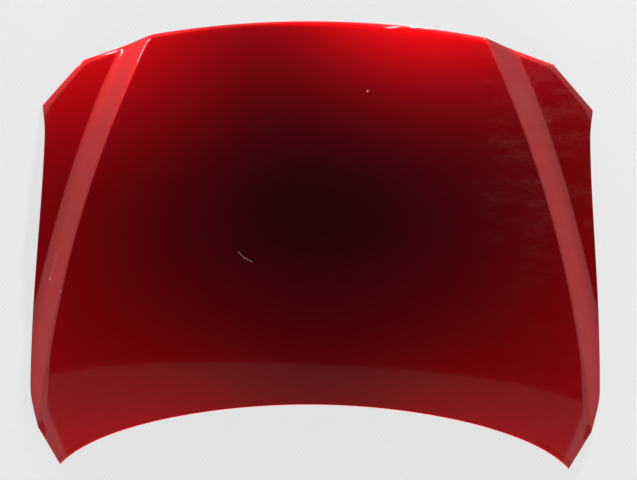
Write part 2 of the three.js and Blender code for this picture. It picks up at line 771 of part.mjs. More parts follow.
class StrikerPath extends THREE.Curve {
  getPoint(t) {
    const legs = STRIKER_DROP - STRIKER_ROD / 2 - strikerSpan / 2;
    const arc = Math.PI * strikerSpan / 2;
    const along = t * (2 * legs + arc);
    if (along < legs) return new THREE.Vector3(-strikerSpan / 2, 0, -along);
    if (along > legs + arc) return new THREE.Vector3(strikerSpan / 2, 0, along - 2 * legs - arc);
    const turn = (along - legs) / (strikerSpan / 2);
    return new THREE.Vector3(
      -Math.cos(turn) * strikerSpan / 2,
      0,
      -legs - Math.sin(turn) * strikerSpan / 2,
    );
  }
}

const rodSection = new THREE.Shape().absarc(0, 0, STRIKER_ROD / 2, 0, 2 * Math.PI);
add(
  'striker_loop',
  new THREE.ExtrudeGeometry(rodSection, { steps: 16, curveSegments: 5, extrudePath: new StrikerPath() })
    .translate(0, 0, plateBottom - GAP),
  'steel',
  strikerSeat,
);
const nutBase = reinforcementBase + REINFORCEMENT + GAP;
strikerBolts.forEach((x, k) => {
  const side = sides[k][0];
  add(`striker_nut_${side}`, nut(boltHole).translate(x, 0, nutBase), 'steel', strikerSeat);
  const headTop = plateBottom - GAP;
  const flange = headTop - BOLT_FLANGE_HEIGHT;
  const head = NUT_FLATS / Math.sqrt(3);
  const shaft = nutBase + NUT_HEIGHT + BOLT_END;
  const profile = [
    [0, flange - BOLT_HEAD_HEIGHT], [head, flange - BOLT_HEAD_HEIGHT], [head, flange],
    [BOLT_FLANGE / 2, flange], [BOLT_FLANGE / 2, headTop],
    [BOLT / 2, headTop], [BOLT / 2, shaft], [0, shaft],
  ];
  add(`striker_bolt_${side}`, turned(profile, 12).translate(x, 0, 0), 'steel', strikerSeat);
});

// Brace: a hat section across the striker, its feet in the front channel and its top near the skin
const channelMiddle = crossing(0, 0).clone().add(crossing(1, 0)).multiplyScalar(0.5);
const braceTop = REINFORCEMENT_LENGTH / 2 + BRACE_CLEARANCE;
const braceFootStart = braceTop + BRACE_WALL;
const braceEnd = braceFootStart + BRACE_FOOT;
const footDepth = RIB_DEPTH - GAP - BRACE;
const halfBrace = [[0, BRACE_DEPTH], [BRACE_DAB_OUT, BRACE_DEPTH], [braceTop, BRACE_DEPTH],
  [braceFootStart, footDepth], [braceEnd, footDepth]];
const braceLine = [...halfBrace.slice(1).reverse().map(([x, depth]) => [-x, depth]), ...halfBrace];

function braceGeometry() {
  const solid = new Solid();
  const layer = (name, extra) => braceLine.map(([x, depth], k) => [1, -1].map((edge) => {
    const at = point(x, channelMiddle.y + edge * BRACE_WIDTH / 2);
    return solid.put(`${name},${k},${edge}`, at.x, at.y, skinHeight(at) - depth - extra);
  }));
  const top = layer('top', 0);
  const bottom = layer('bottom', BRACE);
  for (let k = 0; k < braceLine.length - 1; k += 1) {
    const [a, b] = [top[k], top[k + 1]];
    const [c, d] = [bottom[k], bottom[k + 1]];
    solid.quad(a[0], a[1], b[1], b[0]);
    solid.quad(c[0], d[0], d[1], c[1]);
    solid.quad(a[0], b[0], d[0], c[0]);
    solid.quad(b[1], a[1], c[1], d[1]);
  }
  const end = braceLine.length - 1;
  solid.quad(top[0][1], top[0][0], bottom[0][0], bottom[0][1]);
  solid.quad(top[end][0], top[end][1], bottom[end][1], bottom[end][0]);
  return solid.geometry();
}

add('front_brace', braceGeometry(), 'frame');

// Mastic dabs between the skin and a land of the frame, or the top of the brace
function dab(height) {
  const r = DAB_DIAMETER / 2;
  return turned([[0, 0], [r, 0], [r + DAB_BULGE, height / 2], [r, height], [0, height]], 12);
}

const landDab = LAND_DEPTH - SKIN - 2 * GAP;
const dabPlaces = [];
holeRows.forEach(([row], k) => holeColumns.forEach((pair, field) => {
  dabPlaces.push([`field_${k + 1}_${field + 1}`, [row - 1, row], pair]);
}));
dabPlaces.push(['crease_front', holeRows[0], [CREASE - 2, CREASE - 1]]);
dabPlaces.push(['crease_middle', holeRows[1], [CREASE - 2, CREASE - 1]]);
dabPlaces.forEach(([name, rowPair, pair]) => sides.forEach(([side, sign]) => {
  const place = seat(rowPair, columnsOn(sign, pair));
  add(`mastic_${name}_${side}`, dab(landDab).translate(0, 0, GAP), 'mastic', place);
}));
sides.forEach(([side, sign]) => {
  const at = point(sign * BRACE_DAB_OUT, channelMiddle.y);
  const slopes = [point(1, 0), point(0, 1)].map((step) => (
    skinHeight(at.clone().add(step)) - skinHeight(at.clone().sub(step))) / 2);
  const up = new THREE.Vector3(-slopes[0], -slopes[1], 1).normalize();
  const turn = new THREE.Quaternion().setFromUnitVectors(new THREE.Vector3(0, 0, 1), up);
  const place = new THREE.Matrix4().makeRotationFromQuaternion(turn)
    .setPosition(at.x, at.y, skinHeight(at) - BRACE_DEPTH);
  const sag = sagUnder(BRACE_DAB_OUT * 2);
  const height = BRACE_DEPTH - SKIN - 2 * GAP - 2 * sag;
  add(`mastic_brace_${side}`, dab(height).translate(0, 0, GAP), 'mastic', place);
});

// Insulation pad under the ribs, held by clips
const padRows = everyRow.filter((row) => row >= holeRows[0][0] && row <= holeRows[FIELD_COUNT_ALONG - 1][1]);
const halfPad = [0, ...columnRibs.flat().slice(1), outerRib[1] + 1];
const padColumns = [...halfPad.slice(1).reverse().map((column) => -column), ...halfPad];
const padTop = (row, column) => skinHeight(crossing(row, column)) - RIB_DEPTH - FRAME - GAP;
const padSheet = patchSheet(padRows, padColumns, padTop, (row, column) => padTop(row, column) - PAD);
const clipHole = CLIP_STEM + 2 * STEM_CLEARANCE;
add('insulation_pad', cut(padSheet, clipSeats.map(([, ...pair]) => (
  rod(clipHole, -FRAME - 3 * PAD, PAD, 8).applyMatrix4(seat(...pair))
))), 'felt');

clipSeats.forEach(([name, ...pair]) => {
  const headTop = -FRAME - 2 * GAP - PAD - sagUnder(RIB_WIDTH);
  const barb = GAP;
  const profile = [
    [0, headTop - CLIP_HEAD_HEIGHT], [CLIP_HEAD / 2 - 2, headTop - CLIP_HEAD_HEIGHT],
    [CLIP_HEAD / 2, headTop], [CLIP_STEM / 2, headTop],
    [CLIP_STEM / 2, barb], [CLIP_BARB / 2, barb],
    [CLIP_STEM / 4, barb + CLIP_BARB_HEIGHT], [0, barb + CLIP_BARB_HEIGHT],
  ];
  add(`pad_clip_${name}`, turned(profile, 8), 'plastic', seat(...pair));
});

// Rubber buffers pushed into the front and rear channels
bufferSeats.forEach(([name, ...pair]) => {
  const top = -FRAME - GAP;
  const profile = [
    [0, top - BUFFER_HEIGHT], [BUFFER_TIP / 2, top - BUFFER_HEIGHT],
    [BUFFER_DIAMETER / 2, top - BUFFER_HEIGHT / 4], [BUFFER_DIAMETER / 2, top],
    [BUFFER_STEM / 2, top], [BUFFER_STEM / 2, GAP], [BUFFER_BULB / 2, GAP],
    [BUFFER_STEM / 2, GAP + BUFFER_BULB_HEIGHT], [0, GAP + BUFFER_BULB_HEIGHT],
  ];
  add(`buffer_${name}`, turned(profile, 10), 'rubber', seat(...pair));
});

export default bonnet;
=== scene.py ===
"""A car bonnet dressed over its CAD frame: skin, inner frame, pad, fittings, finishes and stage."""

import math

import bmesh
import bpy
import numpy as np
from bpy.props import FloatProperty, FloatVectorProperty, PointerProperty
from bpy.types import Operator, Panel, PropertyGroup
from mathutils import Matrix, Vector


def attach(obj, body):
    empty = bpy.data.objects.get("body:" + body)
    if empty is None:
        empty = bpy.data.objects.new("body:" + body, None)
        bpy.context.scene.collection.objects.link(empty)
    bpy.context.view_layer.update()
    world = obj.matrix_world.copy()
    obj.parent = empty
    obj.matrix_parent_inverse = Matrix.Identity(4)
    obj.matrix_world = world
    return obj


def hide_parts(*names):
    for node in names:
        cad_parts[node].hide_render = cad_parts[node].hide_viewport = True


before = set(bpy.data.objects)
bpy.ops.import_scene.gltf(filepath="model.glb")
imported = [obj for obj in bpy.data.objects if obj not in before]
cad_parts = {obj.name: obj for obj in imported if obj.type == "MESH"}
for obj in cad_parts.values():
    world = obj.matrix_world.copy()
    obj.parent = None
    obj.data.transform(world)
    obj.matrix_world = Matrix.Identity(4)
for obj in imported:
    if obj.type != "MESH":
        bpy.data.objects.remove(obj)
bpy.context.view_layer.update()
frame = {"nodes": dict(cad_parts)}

bl_info = {
    "name": "Car Bonnet",
    "version": (1, 0, 0),
    "blender": (4, 5, 0),
    "location": "View3D > Sidebar > Bonnet",
    "description": "Dresses a car bonnet: painted skin, inner frame, insulation pad and fittings",
    "category": "Object",
}

MM = 0.001
MERGE = 1e-5
TINY = 1e-9
FOLD_STEPS = 6
WALL_STEPS = 6
FINE_CREASE = np.array([0.0, 3.0, 6.0, 9.0, 13.0]) * MM
HEM_STOPS = (8.0 * MM, 4.0 * MM, 2.4 * MM)
SLOT_END = 2.2 * MM
HEM_TO_WALL = 1.0 * MM

# Rough reach of the half panel across and along, which turns mesh spacing into shares of it
ACROSS = 0.6
ALONG = 0.95
LAST_STEP = 0.02
LEAST_STEP = 8.0 * MM
FADE_RUN = 50.0 * MM
CREASE_ROOM = 12.0 * MM
FULL_ROW = 80.0 * MM
SIDE_TURN = 0.35
SKIN_SIDE_COUNT = 30
FRAME_SIDE_COUNT = 22
PAD_SIDE_COUNT = 10

# Places in the lists of the frame's rows and columns
NOSE_ROW = 2
HOLE_ROWS = (3, 9, 15)
HOLE_COLUMNS = (3, 9)
PAD_LAST_COLUMN = 14
PAD_ROW_ENDS = (3, 16)
FIELDS_ACROSS = 2
FIELDS_ALONG = 3

# Pressed rounded squares of the pad: half sides of the flat middle and the corner's radius
PRESS_ACROSS = 35.0 * MM
PRESS_ALONG = 50.0 * MM
PRESS_RADIUS = 35.0 * MM


def size(name, description, millimetres, low=0.0):
    """A length property from a default in millimetres."""
    return FloatProperty(
        name=name, description=description, default=millimetres * MM, min=low, unit="LENGTH", precision=4
    )


def slope(name, description, default):
    """A slope property, rise over run."""
    return FloatProperty(name=name, description=description, default=default, precision=4)


def amount(name, description, default):
    """A share from 0 to 1."""
    return FloatProperty(
        name=name, description=description, default=default, min=0, max=1, subtype="FACTOR"
    )


def colour(name, description, default):
    """A linear colour property."""
    return FloatVectorProperty(
        name=name, description=description, default=default, size=3, min=0, max=1, subtype="COLOR"
    )


class BonnetPlanSizes(PropertyGroup):
    """Outline of the panel in plan"""

    length: size("Length", "Front edge to rear tips", 1184)
    width: size("Width", "Across the widest points", 1540)
    front_radius: size("Front Radius", "Radius of the front edge in plan", 2900)
    crease_in: size("Crease Corner In", "Crease corner inboard of the widest point", 326)
    lamp_in: size("Lamp Corner In", "Lamp corner inboard of the widest point", 136)
    lamp_setback: size("Lamp Corner Setback", "Lamp corner behind the front edge", 95)
    nose_in: size("Nose Corner In", "Nose corner inboard of the widest point", 26)
    lamp_run: size("Lamp Edge Run", "Nose corner behind the lamp corner", 121.5)
    waist_in: size("Waist In", "Waist inboard of the widest point", 35)
    waist_run: size("Waist Run", "Waist behind the nose corner", 82)
    widest_rise: size("Widest Rise", "Widest point ahead of the rear tips", 207)
    corner_in: size("Side Corner In", "Side corner inboard of the widest point", 25)
    corner_rise: size("Side Corner Rise", "Side corner ahead of the rear tips", 100)
    tip_in: size("Tip In", "Rear tip inboard of the widest point", 86)
    arc_rise: size("Rear Arc Rise", "Middle of the rear edge ahead of the tips", 182)
    arc_handle: size("Rear Arc Handle", "Length of the rear curve's handle at the middle", 286)
    tip_handle_x: size("Tip Handle X", "Rear curve's handle at the tip, across", 97)
    tip_handle_y: size("Tip Handle Y", "Rear curve's handle at the tip, along", 106.5)
    nose_slope: slope("Nose Slope", "Outward slope of the side at the nose corner", -0.156)
    corner_slope: slope("Side Corner Slope", "Outward slope of the side at its rear corner", -0.27)


class BonnetCrownSizes(PropertyGroup):
    """Crown of the panel and its creases"""

    crown_radius: size("Crown Radius", "Radius of the crown across the car", 3000)
    nose_radius: size("Nose Radius", "Radius of the crown ahead of its apex", 2900)
    tail_radius: size("Tail Radius", "Radius of the crown behind its apex", 6000)
    apex_setback: size("Apex Setback", "Apex behind the front edge", 643)
    band_slope: slope("Band Slope", "Slope of the band outboard of the crease", 0.45)
    crease_front_slope: slope("Crease Front Slope", "Outward slope of the crease at the front", 0.45)
    crease_rear_slope: slope("Crease Rear Slope", "Outward slope of the crease at the rear", 0.13)
    crease_rounding: size("Crease Rounding", "Half width of the crease's round", 6)
    valley_out: size("Valley Out", "Valley line's start outboard of the crease corner", 70)
    valley_rise: size("Valley Rise", "Valley line's end ahead of the rear tips", 303)
    valley_front_slope: slope("Valley Front Slope", "Outward slope of the valley at the front", 0.46)
    valley_rear_slope: slope("Valley Rear Slope", "Outward slope of the valley at the rear", 0.22)
    valley_rounding: size("Valley Rounding", "Half width of the valley's round", 18)
    lip_width: size("Lip Width", "Width of the rolled front lip", 14)
    lip_radius: size("Lip Radius", "Radius of the rolled front lip", 60)
    rest_slope: slope("Rest Slope", "Slope of the panel as it lies on its rim", 0.03699755)
    rest_height: size("Rest Height", "Height of the apex line above the floor", 141.040227)


class BonnetSheetSizes(PropertyGroup):
    """Sheets, hem, and the pressed pattern of the inner frame"""

    skin: size("Skin", "Thickness of the outer skin", 0.8)
    frame: size("Frame", "Thickness of the inner frame", 0.7)
    gap: size("Gap", "Clearance between sheets", 0.3)
    hem_flange: size("Hem Flange", "Width of the folded hem", 12)
    wall_foot: size("Wall Foot", "Foot of the frame's wall inboard of the rim", 27)
    rib_depth: size("Rib Depth", "Ribs below the skin's face", 28)
    side_depth: size("Side Depth", "Side channel below the skin's face", 18)
    land_depth: size("Land Depth", "Lands below the skin's face", 9)
    rib_width: size("Rib Width", "Width across a rib", 40)
    wall_run: size("Wall Run", "Run of a rib's wall", 15)
    channel: size("Channel", "Width of the front and rear channels", 60)
    hole_width: size("Hole Width", "Width of a lightening hole", 100)
    hole_side: size("Hole Side Margin", "Land beside a hole", 25)
    hole_end: size("Hole End Margin", "Land before and behind a hole", 53)
    crease_land: size("Crease Land", "Width of the land beside the hinge pad", 50)
    plate_width: size("Hinge Plate Width", "Width of the hinge plates", 56)
    plate_margin: size("Hinge Plate Margin", "Pad beside a hinge plate", 10)
    clearance: size("Floor Clearance", "Least height of the frame above the floor", 5)
    pad_slope_x: slope("Hinge Pad Slope X", "Slope of the hinge pad across", 0.12)
    pad_slope_y: slope("Hinge Pad Slope Y", "Slope of the hinge pad along", 0.06)
    skin_pitch: size("Skin Pitch", "Mesh spacing of the outer skin", 9, 0.004)
    frame_pitch: size("Frame Pitch", "Mesh spacing of the inner frame", 10, 0.004)
    pad_pitch: size("Pad Pitch", "Mesh spacing of the insulation pad", 5, 0.003)


class BonnetPadSizes(PropertyGroup):
    """Moulded insulation pad"""

    thickness: size("Thickness", "Full thickness of the pad", 7)
    edge_thickness: size("Edge Thickness", "Thickness at the pressed edge", 2.6)
    edge_width: size("Edge Width", "Width of the pressed edge", 16)
    groove_depth: size("Groove Depth", "Depth of the pressed grooves", 3.2)
    groove_width: size("Groove Width", "Half width of a pressed groove", 9)


class BonnetFinishes(PropertyGroup):
    """Colours and gloss"""

    paint: colour("Paint", "Base of the metallic paint", (0.42, 0.0010, 0.0018))
    pigment: colour("Pigment", "Red pigment between the flakes", (0.002, 0.0010, 0.0020))
    paint_roughness: amount("Paint Roughness", "Spread of the metal flakes", 0.488)
    under_paint: colour("Underside Paint", "Thin body colour on the inner frame", (0.13, 0.004, 0.006))
    primer: colour("Primer", "Grey primer on plates", (0.09, 0.093, 0.097))
    zinc: colour("Zinc", "Zinc plating on nuts, bolts and striker", (0.52, 0.51, 0.47))
    mastic: colour("Mastic", "Mastic dabs", (0.028, 0.028, 0.03))
    felt: colour("Felt", "Insulation felt", (0.02, 0.02, 0.022))
    plastic: colour("Plastic", "Clips", (0.012, 0.012, 0.013))
    rubber: colour("Rubber", "Buffers", (0.010, 0.010, 0.011))
    scratch: colour("Scratch", "Bare marks in the lacquer", (0.30, 0.27, 0.26))


class BonnetStageSizes(PropertyGroup):
    """Floor, lights and camera"""

    floor_radius: size("Floor Radius", "Reach of the floor to its backdrop", 10000)
    floor_colour: colour("Floor Colour", "Pale grey of the floor", (0.79, 0.79, 0.795))
    floor_evenness: amount("Floor Evenness", "Share of the floor's tone that no shadow dims", 0.9)
    camera_height: size("Camera Height", "Lens above the floor", 2887.4)
    camera_x: size("Camera X", "Camera off the middle, across", 5.4, -1.0)
    camera_y: size("Camera Y", "Camera off the middle, along", 18.3, -1.0)
    camera_roll: FloatProperty(
        name="Camera Roll", description="Turn of the camera about its view", default=math.radians(0.54),
        subtype="ANGLE",
    )
    focal_length: FloatProperty(
        name="Focal Length", description="Lens of a 36 mm camera, in millimetres", default=60.32, min=10
    )
    world_level: FloatProperty(
        name="World Level", description="Brightness of the surroundings", default=0.004, min=0
    )


def unit(v):
    """Rows of v at length 1."""
    return v / np.linalg.norm(v, axis=-1, keepdims=True)


def ease(t):
    """A smooth step from 0 to 1."""
    t = np.clip(t, 0, 1)
    return t * t * (3 - 2 * t)


def smooth_line(y, start, end, start_slope, end_slope):
    """Half width at y of a smooth line between two plan points with a slope at each end."""
    run = start[1] - end[1]
    s = np.clip((start[1] - y) / run, 0, 1)
    rest = 1 - s
    return (
        (1 + 2 * s) * rest**2 * start[0] + (3 - 2 * s) * s**2 * end[0]
        + s * rest**2 * run * start_slope - s**2 * rest * run * end_slope
    )


def bend(distance, rounding):
    """Zero before the bend, a straight climb after it, and a round between."""
    rounded = (distance + rounding) ** 2 / (4 * rounding)
    return np.where(distance < -rounding, 0, np.where(distance > rounding, distance, rounded))


class Shape:
    """Plan and crown of the panel, the same as its solids'."""

    def __init__(self, plan, crown):
        self.p, self.c = plan, crown
        half = plan.width / 2
        self.front, self.rear = plan.length / 2, -plan.length / 2
        self.crease_corner = self.front_arc(np.array(half - plan.crease_in))
        self.lamp = np.array([half - plan.lamp_in, self.front - plan.lamp_setback])
        self.nose = np.array([half - plan.nose_in, self.lamp[1] - plan.lamp_run])
        self.waist = np.array([half - plan.waist_in, self.nose[1] - plan.waist_run])
        self.widest = np.array([half, self.rear + plan.widest_rise])
        self.corner = np.array([half - plan.corner_in, self.rear + plan.corner_rise])
        self.tip = np.array([half - plan.tip_in, self.rear])
        share = crown.valley_out / (self.lamp[0] - self.crease_corner[0])
        self.valley_start = self.crease_corner + (self.lamp - self.crease_corner) * share
        valley_y = self.rear + crown.valley_rise
        self.valley_end = np.array([float(self.side_line(np.array(valley_y))), valley_y])

    def front_arc(self, x):
        """Plan points of the front edge."""
        r = self.p.front_radius
        return np.stack([x, self.front - r + np.sqrt(r * r - x * x)], axis=-1)

    def side_line(self, y):
        ahead = smooth_line(y, self.nose, self.waist, self.p.nose_slope, 0)
        beside = smooth_line(y, self.waist, self.widest, 0, 0)
        behind = smooth_line(y, self.widest, self.corner, 0, self.p.corner_slope)
        return np.where(y > self.waist[1], ahead, np.where(y > self.widest[1], beside, behind))

    def crease_line(self, y):
        return smooth_line(
            y, self.crease_corner, self.corner, self.c.crease_front_slope, self.c.crease_rear_slope
        )

    def valley_line(self, y):
        line = smooth_line(
            y, self.valley_start, self.valley_end, self.c.valley_front_slope, self.c.valley_rear_slope
        )
        return np.where(y < self.valley_end[1], self.side_line(y), np.maximum(self.crease_line(y), line))

    def rear_arc(self, x):
        """Plan points of the rear edge over half widths x."""
        p = self.p
        ends = np.array([
            [0, self.rear + p.arc_rise], [p.arc_handle, self.rear + p.arc_rise],
            [self.tip[0] - p.tip_handle_x, self.tip[1] + p.tip_handle_y], self.tip,
        ])
        t = np.linspace(0, 1, 2001)[:, None]
        line = (
            (1 - t) ** 3 * ends[0] + 3 * t * (1 - t) ** 2 * ends[1]
            + 3 * t**2 * (1 - t) * ends[2] + t**3 * ends[3]
        )
        return np.stack([x, np.interp(x, line[:, 0], line[:, 1])], axis=-1)

    def front_inset(self, x, y):
        """Distance inboard of the front edge and of the slanted edges beside it."""
        insets = [self.front_arc(np.minimum(x, self.crease_corner[0]))[..., 1] - y]
        corners = [self.crease_corner, self.lamp, self.nose]
        for start, end in zip(corners, corners[1:]):
            along = unit(end - start)
            insets.append((x - start[0]) * along[1] - (y - start[1]) * along[0])
        return np.maximum(0, np.min(insets, axis=0))

    def height(self, at):
        """Height of the skin's face over plan points."""
        c = self.c
        x, y = np.abs(at[..., 0]), at[..., 1]
        ahead = y - (self.front - c.apex_setback)
        along = ahead**2 / (2 * np.where(ahead > 0, c.nose_radius, c.tail_radius))
        crease = bend(x - self.crease_line(y), c.crease_rounding)
        band = crease - bend(x - self.valley_line(y), c.valley_rounding)
        lip = np.maximum(0, c.lip_width - self.front_inset(x, y)) ** 2 / (2 * c.lip_radius)
        crown = -along - x * x / (2 * c.crown_radius) - c.band_slope * band - lip
        return crown + c.rest_slope * y + c.rest_height


def stations(first, fields, field, tail, rib, wall):
    """Stations of the frame's pattern as shares of its reach, each with its level, 1 on a rib."""
    steps = [(0.0, 1), (first, 1)]
    for k in range(fields):
        if k:
            steps.append((rib, 1))
        steps += [(wall, 0), *((step, 0) for step in field), (wall, 1)]
    steps += tail
    reach = np.cumsum([step for step, _ in steps])
    return reach / reach[-1], np.array([float(level) for _, level in steps])


class Pattern:
    """Rows and columns of the frame's ribs, with the levels and the hinge pad's weights on them."""

    def __init__(self, plan, s):
        last = s.plate_width + 2 * s.plate_margin
        tail = [(s.rib_width, 1), (s.wall_run, 0), (s.crease_land, 0), (last, 0)]
        across = [s.hole_side, s.hole_width, s.hole_side]
        self.columns, self.column_levels = stations(
            s.rib_width / 2, FIELDS_ACROSS, across, tail, s.rib_width, s.wall_run
        )
        core = plan.length - plan.arc_rise - 2 * s.wall_foot
        ribs = 2 * s.channel + (FIELDS_ALONG - 1) * s.rib_width
        field = (core - ribs) / FIELDS_ALONG - 2 * s.wall_run
        along = [s.hole_end, field - 2 * s.hole_end, s.hole_end]
        self.rows, self.row_levels = stations(
            s.channel, FIELDS_ALONG, along, [(s.channel, 1)], s.rib_width, s.wall_run
        )
        self.corner = len(self.rows) - 3
        self.row_pad = np.zeros(len(self.rows))
        self.row_pad[self.corner - 2:self.corner + 1] = 1
        self.column_pad = np.zeros(len(self.columns))
        self.column_pad[-2:] = 1


def refine(at, pitch, *values):
    """Finer stations, the values eased between the old ones, and each new cell's old cell."""
    fine, cells, eased = [at[0]], [], [[v[0]] for v in values]
    for k in range(len(at) - 1):
        turning = any(v[k] != v[k + 1] for v in values)
        count = max(WALL_STEPS if turning else 1, round((at[k + 1] - at[k]) / pitch))
        t = np.arange(1, count + 1) / count
        fine.extend(at[k] + (at[k + 1] - at[k]) * t)
        cells.extend([k] * count)
        for line, v in zip(eased, values):
            line.extend(v[k] + (v[k + 1] - v[k]) * ease(t))
    return np.array(fine), np.array(cells), [np.array(line) for line in eased]


class Plan:
    """Half plan of a sheet: a centre grid, a grid outboard of the crease, and the rim's stops."""

    def __init__(self, shape, us, vs, pattern, side_count, inset):
        self.shape, self.us, self.vs = shape, us, vs
        corner_v = pattern.rows[pattern.corner]
        self.kc = int(np.argmin(np.abs(vs - corner_v)))
        self.side_count = side_count
        self.make_rim(pattern.rows[NOSE_ROW], pattern.rows[pattern.corner - 1], corner_v)
        edge = self.ring(inset)
        nu, m, kc = len(us), side_count, self.kc
        front, lamp = edge[:nu], edge[nu - 1:nu + m]
        side = np.vstack([edge[nu - 1 + m][None], edge[nu + m:nu + m + kc]])
        beyond = edge[nu + m + kc:nu + m + len(vs) - 1]
        rear = edge[nu + m + len(vs) - 2:][::-1]
        top, corner = front[-1], side[kc]
        y = top[1] + (corner[1] - top[1]) * vs[:kc + 1] / vs[kc]
        fade_in = np.clip(1 - (top[1] - y) / FADE_RUN, 0, 1)
        fade_out = np.clip(1 - (y - corner[1]) / FADE_RUN, 0, 1)
        x = shape.crease_line(y)
        x = x + (top[0] - x[0]) * fade_in + (corner[0] - x[-1]) * fade_out
        room = CREASE_ROOM * (1 - vs[:kc + 1] / vs[kc])
        x = np.minimum(x, side[:, 0] - room)
        crease = np.stack([x, y], axis=-1)
        self.crease = np.vstack([crease, beyond])
        middle = np.stack([np.zeros(len(vs)), front[0][1] + (rear[0][1] - front[0][1]) * vs], axis=-1)
        u, v = us[None, :, None], vs[:, None, None]
        self.centre = (
            (1 - u) * middle[:, None] + u * self.crease[:, None] + (1 - v) * front[None] + v * rear[None]
            - (1 - u) * (1 - v) * front[0] - u * (1 - v) * front[-1]
            - (1 - u) * v * rear[0] - u * v * rear[-1]
        )
        rows = [self.shares(np.linalg.norm(s - c)) for s, c in zip(side, crease)]
        self.side_shares = np.array(rows)
        self.side = crease[:, None] + (side - crease)[:, None] * self.side_shares[..., None]
        self.side[0] = lamp

    def shares(self, width):
        """Shares of a row from the crease to the side, close together beside the crease."""
        near = FINE_CREASE * min(1, width / FULL_ROW) / max(width, TINY)
        far = np.linspace(near[-1], 1, self.side_count - len(near) + 2)
        return np.concatenate([near, far[1:]])

    def make_rim(self, nose_v, wide_v, corner_v):
        s = self.shape
        front = s.front_arc(self.us * s.crease_corner[0])
        reach = np.linalg.norm(s.lamp - s.crease_corner)
        lamp = s.crease_corner + (s.lamp - s.crease_corner) * self.shares(reach)[1:, None]
        v = self.vs[1:self.kc + 1]
        y = np.interp(v, [nose_v, wide_v, corner_v], [s.nose[1], s.widest[1], s.corner[1]])
        side = np.stack([s.side_line(y), y], axis=-1)
        on_lamp = v <= nose_v + TINY
        side[on_lamp] = s.lamp + (s.nose - s.lamp) * (v[on_lamp] / nose_v)[:, None]
        share = (self.vs[self.kc + 1:] - corner_v) / (1 - corner_v)
        beyond = s.corner + (s.tip - s.corner) * share[:, None]
        rear = s.rear_arc(self.us[:-1] * s.tip[0])[::-1]
        self.stops = np.vstack([front, lamp, side, beyond, rear])
        flip = np.array([-1, 1])
        whole = np.vstack([self.stops[1] * flip, self.stops, self.stops[-2] * flip])
        a = unit(whole[1:-1] - whole[:-2])
        b = unit(whole[2:] - whole[1:-1])
        inward = np.stack([a[:, 1] + b[:, 1], -a[:, 0] - b[:, 0]], axis=-1)
        self.inward = inward / (1 + np.sum(a * b, axis=-1, keepdims=True))

    def ring(self, inset):
        return self.stops + self.inward * inset

    def around(self, centre, side):
        """Values of the two grids along the rim, in the order of its stops."""
        beyond = centre[self.kc + 1:, -1]
        return np.concatenate([centre[0], side[0, 1:], side[1:, -1], beyond, centre[-1, -2::-1]])


class MeshMaker:
    """Collects grids of points and makes a smooth mesh of them, mirrored across the middle."""

    def __init__(self):
        self.points, self.faces, self.count = [], [], 0

    def grid(self, points, skip=None):
        """Adds a grid of quads, but not the cells that skip marks, and returns its indices."""
        shape = points.shape[:2]
        index = np.arange(self.count, self.count + shape[0] * shape[1]).reshape(shape)
        self.points.append(points.reshape(-1, 3))
        self.count += index.size
        self.quads(index, skip)
        return index

    def quads(self, index, skip=None):
        faces = np.stack([index[:-1, :-1], index[1:, :-1], index[1:, 1:], index[:-1, 1:]], axis=-1)
        faces = faces.reshape(-1, 4) if skip is None else faces[~skip]
        self.faces.append(faces)

    def object(self, name, material, mirror=True, sharp=40):
        points, faces = np.vstack(self.points), np.vstack(self.faces)
        if mirror:
            faces = np.vstack([faces, faces[:, ::-1] + len(points)])
            points = np.vstack([points, points * np.array([-1, 1, 1])])
        mesh = bpy.data.meshes.new(name)
        mesh.from_pydata(points.tolist(), [], faces.tolist())
        work = bmesh.new()
        work.from_mesh(mesh)
        bmesh.ops.remove_doubles(work, verts=work.verts, dist=MERGE)
        bmesh.ops.dissolve_degenerate(work, edges=work.edges, dist=MERGE / 10)
        bmesh.ops.recalc_face_normals(work, faces=work.faces)
        work.to_mesh(mesh)
        work.free()
        mesh.polygons.foreach_set("use_smooth", np.ones(len(mesh.polygons), dtype=bool))
        mesh.set_sharp_from_angle(angle=math.radians(sharp))
        mesh.materials.append(material)
        made = bpy.data.objects.new(name, mesh)
        bpy.context.scene.collection.objects.link(made)
        return made


def raised(plan_points, z):
    return np.concatenate([plan_points, z[..., None]], axis=-1)


def sheet(plan, upper, lower, rings, skip=None):
    """A closed sheet from the heights of its two faces and the rings that close it round the rim."""
    made = MeshMaker()
    top = made.grid(raised(plan.centre, upper[0]), skip)
    bottom = made.grid(raised(plan.centre, lower[0]), skip)
    made.grid(raised(plan.side, upper[1]))
    made.grid(raised(plan.side, lower[1]))
    made.grid(np.stack(rings))
    if skip is not None:
        for axis in (0, 1):
            edges = np.diff(np.pad(skip, 1).astype(int), axis=axis) != 0
            for i, j in np.argwhere(edges):
                i, j = (i, j - 1) if axis == 0 else (i - 1, j)
                a, b = (i, j), (i, j + 1) if axis == 0 else (i + 1, j)
                made.faces.append(np.array([[top[a], top[b], bottom[b], bottom[a]]]))
    return made


def settings():
    return bpy.context.scene.bonnet


def shape_now():
    s = settings()
    return Shape(s.plan, s.crown)


def place(made, slot, *nodes):
    """Ties a finished piece to the frame's one body."""
    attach(made, "root")
    if nodes:
        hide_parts(*nodes)
    return made


